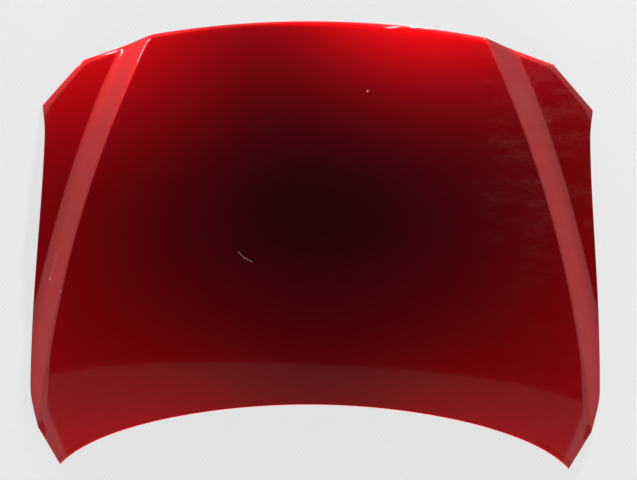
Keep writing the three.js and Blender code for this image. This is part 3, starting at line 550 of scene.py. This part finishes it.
class Shader:
    """Short calls for making one material's nodes."""

    def __init__(self, name):
        self.material = bpy.data.materials.new(name)
        self.material.use_nodes = True
        self.tree = self.material.node_tree
        self.tree.nodes.clear()
        self.surface = self.node("ShaderNodeBsdfPrincipled")
        self.out = self.node("ShaderNodeOutputMaterial")
        self.tree.links.new(self.surface.outputs[0], self.out.inputs[0])
        self.texture = self.node("ShaderNodeTexCoord")
        self.where = self.texture.outputs["Object"]

    def node(self, kind, sockets=None, **attributes):
        made = self.tree.nodes.new(kind)
        for key, value in attributes.items():
            setattr(made, key, value)
        for key, value in (sockets or {}).items():
            self.feed(made.inputs[key], value)
        return made

    def feed(self, socket, value):
        if isinstance(value, bpy.types.NodeSocket):
            self.tree.links.new(value, socket)
        else:
            socket.default_value = value

    def set(self, **sockets):
        for key, value in sockets.items():
            self.feed(self.surface.inputs[key.replace("_", " ")], value)

    def maths(self, operation, *values):
        made = self.node("ShaderNodeMath", dict(enumerate(values)), operation=operation)
        return made.outputs[0]

    def vector(self, operation, *values, out=0):
        made = self.node("ShaderNodeVectorMath", dict(enumerate(values)), operation=operation)
        return made.outputs[out]

    def noise(self, scale, detail=3.0, rough=0.5, at=None):
        sockets = {"Vector": at or self.where, "Scale": scale, "Detail": detail, "Roughness": rough}
        return self.node("ShaderNodeTexNoise", sockets).outputs[0]

    def spread(self, value, low, high, to_low=0.0, to_high=1.0):
        """Maps low..high to to_low..to_high, clamped."""
        sockets = {0: value, 1: low, 2: high, 3: to_low, 4: to_high}
        return self.node("ShaderNodeMapRange", sockets).outputs[0]

    def mix(self, share, a, b):
        made = self.node("ShaderNodeMix", data_type="RGBA")
        for key, value in ((0, share), (6, a), (7, b)):
            self.feed(made.inputs[key], value)
        return made.outputs[2]

    def scaled(self, value, share):
        """A colour or vector times a share."""
        sockets = {0: value, "Scale": share}
        return self.node("ShaderNodeVectorMath", sockets, operation="SCALE").outputs[0]

    def bump(self, height, strength, distance):
        sockets = {"Height": height, "Strength": strength, "Distance": distance}
        return self.node("ShaderNodeBump", sockets).outputs[0]


def rgba(value):
    return (*value, 1.0)


def flat(name, base, roughness, metallic, grain=400.0, unevenness=0.12, relief=0.00015):
    """A plain finish with a fine grain in its colour, gloss and surface."""
    s = Shader(name)
    wide = s.noise(14.0)
    fine = s.noise(grain, 4.0)
    shade = s.spread(s.maths("ADD", wide, fine), 0.7, 1.3, 1 - unevenness, 1 + unevenness)
    s.set(Base_Color=s.scaled(base, shade), Metallic=metallic)
    s.set(Roughness=s.spread(wide, 0.3, 0.7, roughness * 0.85, roughness * 1.15))
    s.set(Normal=s.bump(fine, 0.35, relief))
    return s


SCRATCHES = (
    ((-0.202, -0.014), (-0.185, -0.030), 0.0007, 0.5),
    ((-0.185, -0.030), (-0.165, -0.039), 0.0007, 0.5),
    ((-0.688, -0.015), (-0.709, -0.085), 0.0006, 0.35),
    ((-0.711, -0.090), (-0.712, -0.094), 0.0016, 1.0),
    ((-0.678, -0.122), (-0.677, -0.126), 0.0010, 0.7),
    ((0.128, 0.405), (0.130, 0.407), 0.0016, 0.6),
)


def scratches(s):
    """Share of bare mark from the list of lines: start, end, half width and strength in plan."""
    plan = s.vector("MULTIPLY", s.where, (1.0, 1.0, 0.0))
    total = 0.0
    for start, end, half, strength in SCRATCHES:
        run = (end[0] - start[0], end[1] - start[1], 0.0)
        reach = math.hypot(*run)
        away = s.vector("SUBTRACT", plan, (*start, 0.0))
        along = s.vector("DOT_PRODUCT", away, tuple(v / reach**2 for v in run), out=1)
        held = s.maths("MINIMUM", s.maths("MAXIMUM", along, 0.0), 1.0)
        distance = s.vector("LENGTH", s.vector("SUBTRACT", away, s.scaled(run, held)), out=1)
        line = s.spread(distance, half * 0.5, half * 1.6, strength, 0.0)
        total = s.maths("ADD", line, total)
    return total


# Ends of the spreads over the panel: from, to, then the share at each
SMUDGE_SIDE = (0.40, 0.56, 0.12, 1.0)
SMUDGE_AHEAD = (-0.10, 0.12, 0.25, 1.0)
SMUDGE_WIPE = (1.0, 2.4, 1.0)
SMUDGE_STRENGTH = 0.05
FLAKE_SCALE = 1400.0
FLAKE_GRAIN = (0.0, 0.7, 0.9, 1.1)
# Painted shade: flake colour falls to a tenth where the surface's normal leans far from up, as on the
# hem's round edge
EDGE_SHADE_SPREAD = (0.60, 0.78, 0.1, 1.0)
LACQUER_GLOSS = (0.0, 0.2, 0.05, 0.3)


def smudges(s):
    """Faint hand and dust marks, most of them over the right front."""
    parts = s.node("ShaderNodeSeparateXYZ", {0: s.where}).outputs
    side = s.spread(parts["X"], *SMUDGE_SIDE)
    ahead = s.spread(parts["Y"], *SMUDGE_AHEAD)
    wiped = s.vector("MULTIPLY", s.where, SMUDGE_WIPE)
    broad = s.spread(s.noise(11.0, 5.0, 0.62, at=wiped), 0.46, 0.74)
    patch = s.maths("MULTIPLY", broad, s.spread(s.noise(70.0, 3.0, 0.6, at=wiped), 0.34, 0.72))
    place_share = s.maths("MULTIPLY", side, ahead)
    return s.maths("MULTIPLY", s.maths("MULTIPLY", patch, SMUDGE_STRENGTH), place_share)


def paint_material():
    """Deep metallic red under clear lacquer, with the marks the panel has picked up and painted shade on
    its steep hem edges.
    """
    f = settings().finishes
    s = Shader("bonnet paint")
    grain = s.node("ShaderNodeTexVoronoi", {"Vector": s.where, "Scale": FLAKE_SCALE})
    steep = s.node("ShaderNodeSeparateXYZ", {0: s.texture.outputs["Normal"]}).outputs["Z"]
    # Painted shade: the flakes darken where the skin turns steeply down, along the hem's rounded edges
    painted_edge_shade = s.spread(steep, *EDGE_SHADE_SPREAD)
    flake_grain_and_edge_shade = s.maths("MULTIPLY", s.spread(grain.outputs["Distance"], *FLAKE_GRAIN), painted_edge_shade)
    metal = {"Color": s.scaled(tuple(f.paint), flake_grain_and_edge_shade), "Roughness": f.paint_roughness}
    flakes = s.node("ShaderNodeBsdfAnisotropic", metal, distribution="BECKMANN")
    wear = s.maths("MINIMUM", s.maths("ADD", scratches(s), smudges(s)), 1.0)
    s.set(Base_Color=s.mix(wear, rgba(f.pigment), rgba(f.scratch)), Metallic=0.0, IOR=1.5)
    s.set(Roughness=s.spread(wear, *LACQUER_GLOSS))
    both = s.node("ShaderNodeAddShader", {0: flakes.outputs[0], 1: s.surface.outputs[0]})
    s.tree.links.new(both.outputs[0], s.out.inputs[0])
    return s.material


class BONNET_OT_skin(Operator):
    """Makes the crowned outer skin with its creases and folded hem"""

    bl_idname = "bonnet.skin"
    bl_label = "Make Skin"

    def execute(self, context):
        s = settings()
        shape = shape_now()
        pattern = Pattern(s.plan, s.sheets)
        sheets = s.sheets
        pitch = sheets.skin_pitch
        across = np.arange(0, 1 - LAST_STEP, pitch / ACROSS)
        near = 1 - FINE_CREASE[::-1] / ACROSS
        us = np.concatenate([across[across < near[0] - LEAST_STEP], near])
        knots = [0, pattern.rows[NOSE_ROW], pattern.rows[pattern.corner], 1]
        vs, _, _ = refine(np.array(knots), pitch)
        hem = 2 * sheets.skin + sheets.frame + 2 * sheets.gap
        inner = sheets.hem_flange + HEM_TO_WALL
        plan = Plan(shape, us, vs, pattern, SKIN_SIDE_COUNT, inner)
        upper = [shape.height(plan.centre), shape.height(plan.side)]
        lower = [z - sheets.skin for z in upper]
        round_ = hem / 2
        profile = [(inner, 0), *((stop, 0) for stop in HEM_STOPS)]
        for k in range(FOLD_STEPS + 1):
            turn = math.pi * k / FOLD_STEPS
            profile.append((round_ * (1 - math.sin(turn)), round_ * (1 - math.cos(turn))))
        slot_end = round_ + sheets.skin / 2
        profile += [
            (sheets.hem_flange / 2, hem), (sheets.hem_flange, hem),
            (sheets.hem_flange, hem - sheets.skin), (slot_end, hem - sheets.skin),
            (slot_end, sheets.skin), (inner, sheets.skin),
        ]
        rings = []
        for inset, depth in profile:
            at = plan.ring(inset)
            rings.append(raised(at, shape.height(at) - depth))
        made = sheet(plan, upper, lower, rings).object("bonnet_skin", paint_material())
        place(made, "body_paint", "outer_skin")
        return {"FINISHED"}


class BONNET_OT_frame(Operator):
    """Makes the pressed inner frame with its ribs, channels, holes and hinge pads"""

    bl_idname = "bonnet.frame"
    bl_label = "Make Inner Frame"

    def execute(self, context):
        s = settings()
        sheets = s.sheets
        shape = shape_now()
        pattern = Pattern(s.plan, sheets)
        us, columns, (su, pu) = refine(
            pattern.columns, sheets.frame_pitch / ACROSS, pattern.column_levels, pattern.column_pad
        )
        vs, rows, (sv, pv) = refine(
            pattern.rows, sheets.frame_pitch / ALONG, pattern.row_levels, pattern.row_pad
        )
        plan = Plan(shape, us, vs, pattern, FRAME_SIDE_COUNT, sheets.wall_foot)
        drop = sheets.rib_depth - sheets.land_depth
        depth = sheets.land_depth + drop * np.maximum(su[None, :], sv[:, None])
        weight = pu[None, :] * pv[:, None]
        at_crease = sheets.land_depth + drop * sv[:plan.kc + 1, None]
        turn = ease(plan.side_shares / SIDE_TURN)
        side_depth = at_crease + (sheets.side_depth - at_crease) * turn
        side_weight = np.repeat(pv[:plan.kc + 1, None], plan.side.shape[1], axis=1)
        corner = plan.crease[plan.kc]

        def heights(at, depths, weights):
            face = shape.height(at)
            least = sheets.skin + sheets.gap + sheets.frame
            pressed = np.maximum(face - depths, sheets.clearance + sheets.frame)
            pad = (
                sheets.clearance + sheets.frame + sheets.pad_slope_x * (corner[0] - at[..., 0])
                + sheets.pad_slope_y * (at[..., 1] - corner[1])
            )
            z = pressed + (pad - pressed) * weights
            return np.minimum(face - least, z)

        upper = [heights(plan.centre, depth, weight), heights(plan.side, side_depth, side_weight)]
        lower = [z - sheets.frame for z in upper]
        foot = plan.ring(sheets.wall_foot)
        foot_depth = shape.height(foot) - plan.around(*upper)
        flange = sheets.skin + sheets.gap
        hem_end = sheets.hem_flange + HEM_TO_WALL
        rings = []
        for step in range(WALL_STEPS + 1):
            share = step / WALL_STEPS
            at = plan.ring(sheets.wall_foot + (hem_end - sheets.wall_foot) * share)
            deep = foot_depth + (flange - foot_depth) * ease(share)
            rings.append(raised(at, shape.height(at) - deep))
        at = plan.ring(SLOT_END)
        rings.append(raised(at, shape.height(at) - flange))
        rings += [ring - np.array([0, 0, sheets.frame]) for ring in rings[::-1]]
        skip = np.isin(rows, HOLE_ROWS)[:, None] & np.isin(columns, HOLE_COLUMNS)[None, :]
        f = s.finishes
        material = flat(
            "underside paint", tuple(f.under_paint), roughness=0.42, metallic=0.35, grain=260.0,
            unevenness=0.08, relief=0.0001,
        )
        material.set(Coat_Weight=0.25, Coat_Roughness=0.3)
        made = sheet(plan, upper, lower, rings, skip)
        made = made.object("inner_frame_pressing", material.material, sharp=60)
        place(made, "underside_paint", "inner_frame")
        return {"FINISHED"}


class BONNET_OT_pad(Operator):
    """Makes the moulded insulation pad under the ribs"""

    bl_idname = "bonnet.pad"
    bl_label = "Make Insulation Pad"

    def execute(self, context):
        s = settings()
        sheets, pad = s.sheets, s.pad
        shape = shape_now()
        pattern = Pattern(s.plan, sheets)
        us, _, _ = refine(pattern.columns, sheets.pad_pitch / ACROSS)
        vs, _, _ = refine(pattern.rows, sheets.pad_pitch / ALONG)
        plan = Plan(shape, us, vs, pattern, PAD_SIDE_COUNT, sheets.wall_foot)
        used_u = us <= pattern.columns[PAD_LAST_COLUMN] + TINY
        first, last = (pattern.rows[row] for row in PAD_ROW_ENDS)
        used_v = (vs >= first - TINY) & (vs <= last + TINY)
        at = plan.centre[used_v][:, used_u]
        u, v = us[used_u], vs[used_v]
        across = np.linalg.norm(at - at[:, -1:], axis=-1)
        along = np.minimum(np.abs(at[..., 1] - at[:1, :, 1]), np.abs(at[..., 1] - at[-1:, :, 1]))
        edge = np.minimum(across, along)
        inward = ease(edge / pad.edge_width)
        thickness = pad.edge_thickness + (pad.thickness - pad.edge_thickness) * inward
        groove = np.zeros_like(thickness)
        for column in HOLE_COLUMNS:
            for row in HOLE_ROWS:
                du = np.abs(u - (pattern.columns[column] + pattern.columns[column + 1]) / 2) * ACROSS
                dv = np.abs(v - (pattern.rows[row] + pattern.rows[row + 1]) / 2) * ALONG
                ring = np.hypot(*np.meshgrid(
                    np.maximum(du - PRESS_ACROSS, 0), np.maximum(dv - PRESS_ALONG, 0)
                ))
                away = np.abs(ring - PRESS_RADIUS) / pad.groove_width
                groove = np.maximum(groove, 1 - ease(away))
        thickness = thickness - pad.groove_depth * groove * inward
        top = shape.height(at) - sheets.rib_depth - sheets.frame - sheets.gap
        made = MeshMaker()
        upper = made.grid(raised(at, top))
        lower = made.grid(raised(at, top - thickness))
        for line in (np.s_[0, :], np.s_[-1, :], np.s_[:, -1]):
            made.quads(np.stack([upper[line], lower[line]]))
        f = s.finishes
        felt = flat(
            "felt", tuple(f.felt), roughness=0.95, metallic=0.0, grain=900.0,
            unevenness=0.5, relief=0.0006,
        )
        felt.set(Sheen_Weight=0.25, Sheen_Roughness=0.6)
        obj = made.object("insulation_pad_moulded", felt.material, sharp=60)
        place(obj, "felt", "insulation_pad")
        return {"FINISHED"}


class BONNET_OT_fittings(Operator):
    """Turns the clips, buffers and bolts finely and gives all fittings their finishes"""

    bl_idname = "bonnet.fittings"
    bl_label = "Finish Fittings"

    def execute(self, context):
        f = settings().finishes
        primer = flat("primed steel", tuple(f.primer), 0.6, 0.0, grain=500.0).material
        zinc = flat(
            "zinc plate", tuple(f.zinc), 0.38, 1.0, grain=700.0, unevenness=0.1, relief=0.00005
        ).material
        mastic = flat(
            "mastic", tuple(f.mastic), 0.75, 0.0, grain=160.0, unevenness=0.2, relief=0.0008
        ).material
        plastic = flat("clip plastic", tuple(f.plastic), 0.5, 0.0, grain=600.0).material
        rubber = flat("buffer rubber", tuple(f.rubber), 0.7, 0.0, grain=500.0, unevenness=0.2).material
        under = bpy.data.materials["underside paint"]
        kinds = [
            ("mastic", mastic), ("pad_clip", plastic), ("buffer", rubber),
            ("hinge_plate", primer), ("hinge_nut", zinc), ("front_brace", under),
            ("striker_reinforcement", primer), ("striker", zinc),
        ]
        for name, node in frame["nodes"].items():
            for prefix, material in kinds:
                if name.startswith(prefix):
                    for socket in node.material_slots:
                        socket.material = material
                    break
        for name, node in list(frame["nodes"].items()):
            made = f"turned_{name}"
            if name.startswith("pad_clip"):
                turned_piece(node, made, CLIP_PROFILE, CLIP_BARB, plastic, "clip_plastic")
            elif name.startswith("buffer"):
                turned_piece(node, made, BUFFER_PROFILE, BUFFER_BULB, rubber, "buffer_rubber")
            elif name.startswith("striker_bolt"):
                turned_piece(node, made, BOLT_PROFILE, BOLT_END, zinc, "zinc_steel")
        return {"FINISHED"}


# Rings of the turned pieces: radius and height in millimetres, and 1 where the ring is a hexagon
CLIP_PROFILE = (
    (0.0, 1.0, 0), (2.4, 1.0, 0), (3.0, 0.3, 0), (3.8, 0.0, 0), (9.6, 0.0, 0),
    (11.4, 0.4, 0), (12.6, 1.3, 0), (13.0, 2.2, 0), (12.8, 2.5, 0), (3.5, 2.5, 0),
)
CLIP_BARB = ((3.5, -5.0, 0), (4.75, -5.0, 0), (4.75, -4.5, 0), (1.75, 0.0, 0), (0.0, 0.0, 0))
BUFFER_PROFILE = (
    (0.0, 0.7, 0), (4.4, 0.7, 0), (5.2, 0.0, 0), (7.2, 0.0, 0), (8.0, 0.8, 0), (9.0, 4.4, 0),
    (8.6, 5.0, 0), (9.5, 5.6, 0), (10.6, 8.2, 0), (10.2, 8.8, 0), (11.1, 9.4, 0), (12.8, 12.0, 0),
    (13.0, 13.0, 0), (13.0, 15.4, 0), (12.4, 16.0, 0), (5.0, 16.0, 0),
)
BUFFER_BULB = ((5.0, -5.0, 0), (6.8, -5.0, 0), (7.0, -4.6, 0), (5.0, 0.0, 0), (0.0, 0.0, 0))
BOLT_PROFILE = (
    (0.0, 0.8, 0), (4.6, 0.8, 0), (5.2, 0.1, 0), (6.4, 0.0, 1), (7.4, 0.7, 1), (7.4, 5.4, 1),
    (8.1, 5.5, 0), (8.5, 5.9, 0), (8.5, 6.8, 0), (8.3, 7.0, 0), (4.0, 7.0, 0),
)
BOLT_END = ((4.0, -0.8, 0), (3.3, 0.0, 0), (0.0, 0.0, 0))
TURN_STEPS = 48

# Floor that rises to its backdrop: share of its radius, then height in metres
COVE = ((0.0, 0.0), (0.9, 0.0), (0.95, 0.15), (0.985, 0.5), (1.0, 1.0), (1.0, 9.0))
COVE_SIDES = 96


def turned_piece(node, name, foot, tip, material, slot):
    """A finely turned piece on the axis of its solid.

    The rings of foot are measured up from its lowest face and those of tip down from its top, each with
    a radius, a height and 1 where the ring is a hexagon.
    """
    at = np.unique(np.round([node.matrix_world @ v.co for v in node.data.vertices], 6), axis=0)
    middle = at.mean(axis=0)
    spreads, lines = np.linalg.eigh(np.cov((at - middle).T))
    gaps = [abs(spreads[1] - spreads[2]), abs(spreads[0] - spreads[2]), abs(spreads[0] - spreads[1])]
    up = lines[:, int(np.argmin(gaps))]
    up = up * np.sign(up[2])
    reach = (at - middle) @ up
    side = unit(np.cross(up, np.array([0.0, 1.0, 0.0])))
    other = np.cross(up, side)
    angle = np.linspace(0, 2 * math.pi, TURN_STEPS + 1)
    hexagon = math.cos(math.pi / 6) / np.cos((angle % (math.pi / 3)) - math.pi / 6)
    rings = []
    for start, profile in ((reach.min(), foot), (reach.max(), tip)):
        for radius, height, flats in profile:
            r = radius * MM * (hexagon if flats else np.ones_like(angle))[:, None]
            round_ = side * np.cos(angle)[:, None] * r + other * np.sin(angle)[:, None] * r
            rings.append(middle + up * (start + height * MM) + round_)
    made = MeshMaker()
    made.grid(np.stack(rings))
    place(made.object(name, material, mirror=False, sharp=35), slot, node.name)


# Name, shape, place, target, width, height and watts
LAMPS = (
    ("front key", "RECTANGLE", (1.09, 3.75, 0.88), (0.0, 0.0, 0.0), 0.2, 0.2, 460.0),
    ("front left", "RECTANGLE", (-2.28, 3.09, 1.13), (0.0, 0.0, 0.0), 0.2, 0.2, 60.0),
    ("front right", "RECTANGLE", (2.03, 2.87, 1.91), (0.0, 0.0, 0.0), 0.2, 0.2, 6.0),
    ("rear right", "RECTANGLE", (1.38, -3.54, 1.25), (0.0, 0.0, 0.0), 0.2, 0.2, 112.0),
    ("rear left", "RECTANGLE", (-1.48, -3.46, 1.37), (0.0, 0.0, 0.0), 0.2, 0.2, 82.0),
    ("front edge strip", "RECTANGLE", (0.96, 3.35, 2.87), (0.19, 0.58, 0.09), 0.06, 0.9, 5.1),
    ("lamp edge strip", "RECTANGLE", (-2.7, 2.83, 2.49), (-0.55, 0.52, 0.03), 0.1, 0.5, 4.7),
    ("crease strip", "RECTANGLE", (-3.28, 2.76, 1.8), (-0.45, 0.55, 0.05), 0.5, 0.3, 12.0),
    ("rear card", "ELLIPSE", (-0.4, -4.25, 3.5), (-0.4, -4.25, 0.0), 13.6, 6.0, 41.0),
)


WORLD_TINT = (0.95, 0.97, 1.0, 1.0)
SENSOR_WIDTH = 36.0
CLIP_RANGE = (0.05, 50.0)


def area_lamp(name, shape, at, target, wide, high, power):
    """A lamp panel that faces its target and isn't seen itself."""
    lamp = bpy.data.lights.new(name, "AREA")
    lamp.shape, lamp.size, lamp.size_y, lamp.energy = shape, wide, high, power
    held = bpy.data.objects.new(name, lamp)
    held.location = at
    held.rotation_mode = "QUATERNION"
    held.rotation_quaternion = (Vector(target) - Vector(at)).to_track_quat("-Z", "Y")
    held.visible_camera = False
    return held


WEAVE_TURNS = (0.6, -0.6)
WEAVE_THREADS = 36.0
THREAD_RANGE = (0.985, 1.015)
CLOTH_RANGE = (0.99, 1.01)


def floor_material(base, evenness):
    """Pale woven cloth, mostly its own even tone to the eye and to gloss, so its shadows are faint."""
    s = Shader("floor")
    weave = s.spread(s.noise(60.0, 6.0, 0.7), 0.3, 0.7, *CLOTH_RANGE)
    for angle in WEAVE_TURNS:
        turned = s.node("ShaderNodeVectorRotate", {"Vector": s.where, "Angle": angle}).outputs[0]
        thread = {"Vector": turned, "Scale": WEAVE_THREADS, "Distortion": 1.5, "Detail": 1.0}
        wave = s.node("ShaderNodeTexWave", thread)
        weave = s.maths("MULTIPLY", weave, s.spread(wave.outputs[1], 0.0, 1.0, *THREAD_RANGE))
    tone = s.scaled(base, weave)
    s.set(Base_Color=tone, Roughness=0.95, Specular_IOR_Level=0.0)
    ray = s.node("ShaderNodeLightPath").outputs
    mirrored = s.maths("ADD", ray["Is Glossy Ray"], ray["Is Transmission Ray"])
    seen = s.maths("ADD", ray["Is Camera Ray"], mirrored)
    share = s.maths("MULTIPLY", s.maths("MINIMUM", seen, 1.0), evenness)
    even = s.node("ShaderNodeEmission", {"Color": tone})
    both = s.node("ShaderNodeMixShader", {0: share, 1: s.surface.outputs[0], 2: even.outputs[0]})
    s.tree.links.new(both.outputs[0], s.out.inputs[0])
    return s.material


class BONNET_OT_stage(Operator):
    """Lays the pale floor and its backdrop, hangs the lamps and sets the camera"""

    bl_idname = "bonnet.stage"
    bl_label = "Make Stage"

    def execute(self, context):
        s = settings().stage
        turn = np.linspace(0, 2 * math.pi, COVE_SIDES + 1)
        rings = []
        for share, height in COVE:
            r = s.floor_radius * share
            level = np.full_like(turn, height)
            rings.append(np.stack([r * np.cos(turn), r * np.sin(turn), level], axis=-1))
        cove = MeshMaker()
        cove.grid(np.stack(rings))
        material = floor_material(tuple(s.floor_colour), s.floor_evenness)
        floor = cove.object("floor", material, mirror=False)
        for name, shape, at, target, wide, high, power in LAMPS:
            lamp = area_lamp(name, shape, at, target, wide, high, power)
            context.scene.collection.objects.link(lamp)
        world = bpy.data.worlds.new("surroundings")
        world.use_nodes = True
        ground = world.node_tree.nodes["Background"]
        ground.inputs["Color"].default_value = WORLD_TINT
        ground.inputs["Strength"].default_value = s.world_level
        context.scene.world = world
        lens = bpy.data.cameras.new("camera")
        lens.lens, lens.sensor_width = s.focal_length, SENSOR_WIDTH
        lens.clip_start, lens.clip_end = CLIP_RANGE
        camera = bpy.data.objects.new("camera", lens)
        camera.location = (s.camera_x, s.camera_y, s.camera_height)
        camera.rotation_euler = (0.0, 0.0, s.camera_roll)
        context.scene.collection.objects.link(camera)
        context.scene.camera = camera
        context.scene.view_settings.view_transform = "Standard"
        return {"FINISHED"}


class BonnetSettings(PropertyGroup):
    """All sizes and colours of the bonnet"""

    plan: PointerProperty(type=BonnetPlanSizes, name="Plan", description="Outline sizes")
    crown: PointerProperty(type=BonnetCrownSizes, name="Crown", description="Crown and crease sizes")
    sheets: PointerProperty(type=BonnetSheetSizes, name="Sheets", description="Sheet and pressing sizes")
    pad: PointerProperty(type=BonnetPadSizes, name="Pad", description="Insulation pad sizes")
    finishes: PointerProperty(type=BonnetFinishes, name="Finishes", description="Colours and gloss")
    stage: PointerProperty(type=BonnetStageSizes, name="Stage", description="Floor, lights and camera")


STEPS = ("skin", "frame", "pad", "fittings", "stage")


class BONNET_PT_sidebar(Panel):
    """Lists the steps that make the bonnet"""

    bl_idname = "BONNET_PT_sidebar"
    bl_label = "Car Bonnet"
    bl_space_type = "VIEW_3D"
    bl_region_type = "UI"
    bl_category = "Bonnet"

    def draw(self, context):
        for step in STEPS:
            self.layout.operator(f"bonnet.{step}")


CLASSES = (
    BonnetPlanSizes, BonnetCrownSizes, BonnetSheetSizes, BonnetPadSizes, BonnetFinishes,
    BonnetStageSizes, BonnetSettings, BONNET_OT_skin, BONNET_OT_frame, BONNET_OT_pad,
    BONNET_OT_fittings, BONNET_OT_stage, BONNET_PT_sidebar,
)


def register():
    for cls in CLASSES:
        bpy.utils.register_class(cls)
    bpy.types.Scene.bonnet = PointerProperty(type=BonnetSettings)


def unregister():
    del bpy.types.Scene.bonnet
    for cls in reversed(CLASSES):
        bpy.utils.unregister_class(cls)


def main():
    register()
    for step in STEPS:
        getattr(bpy.ops.bonnet, step)()


if __name__ == "__main__":
    main()
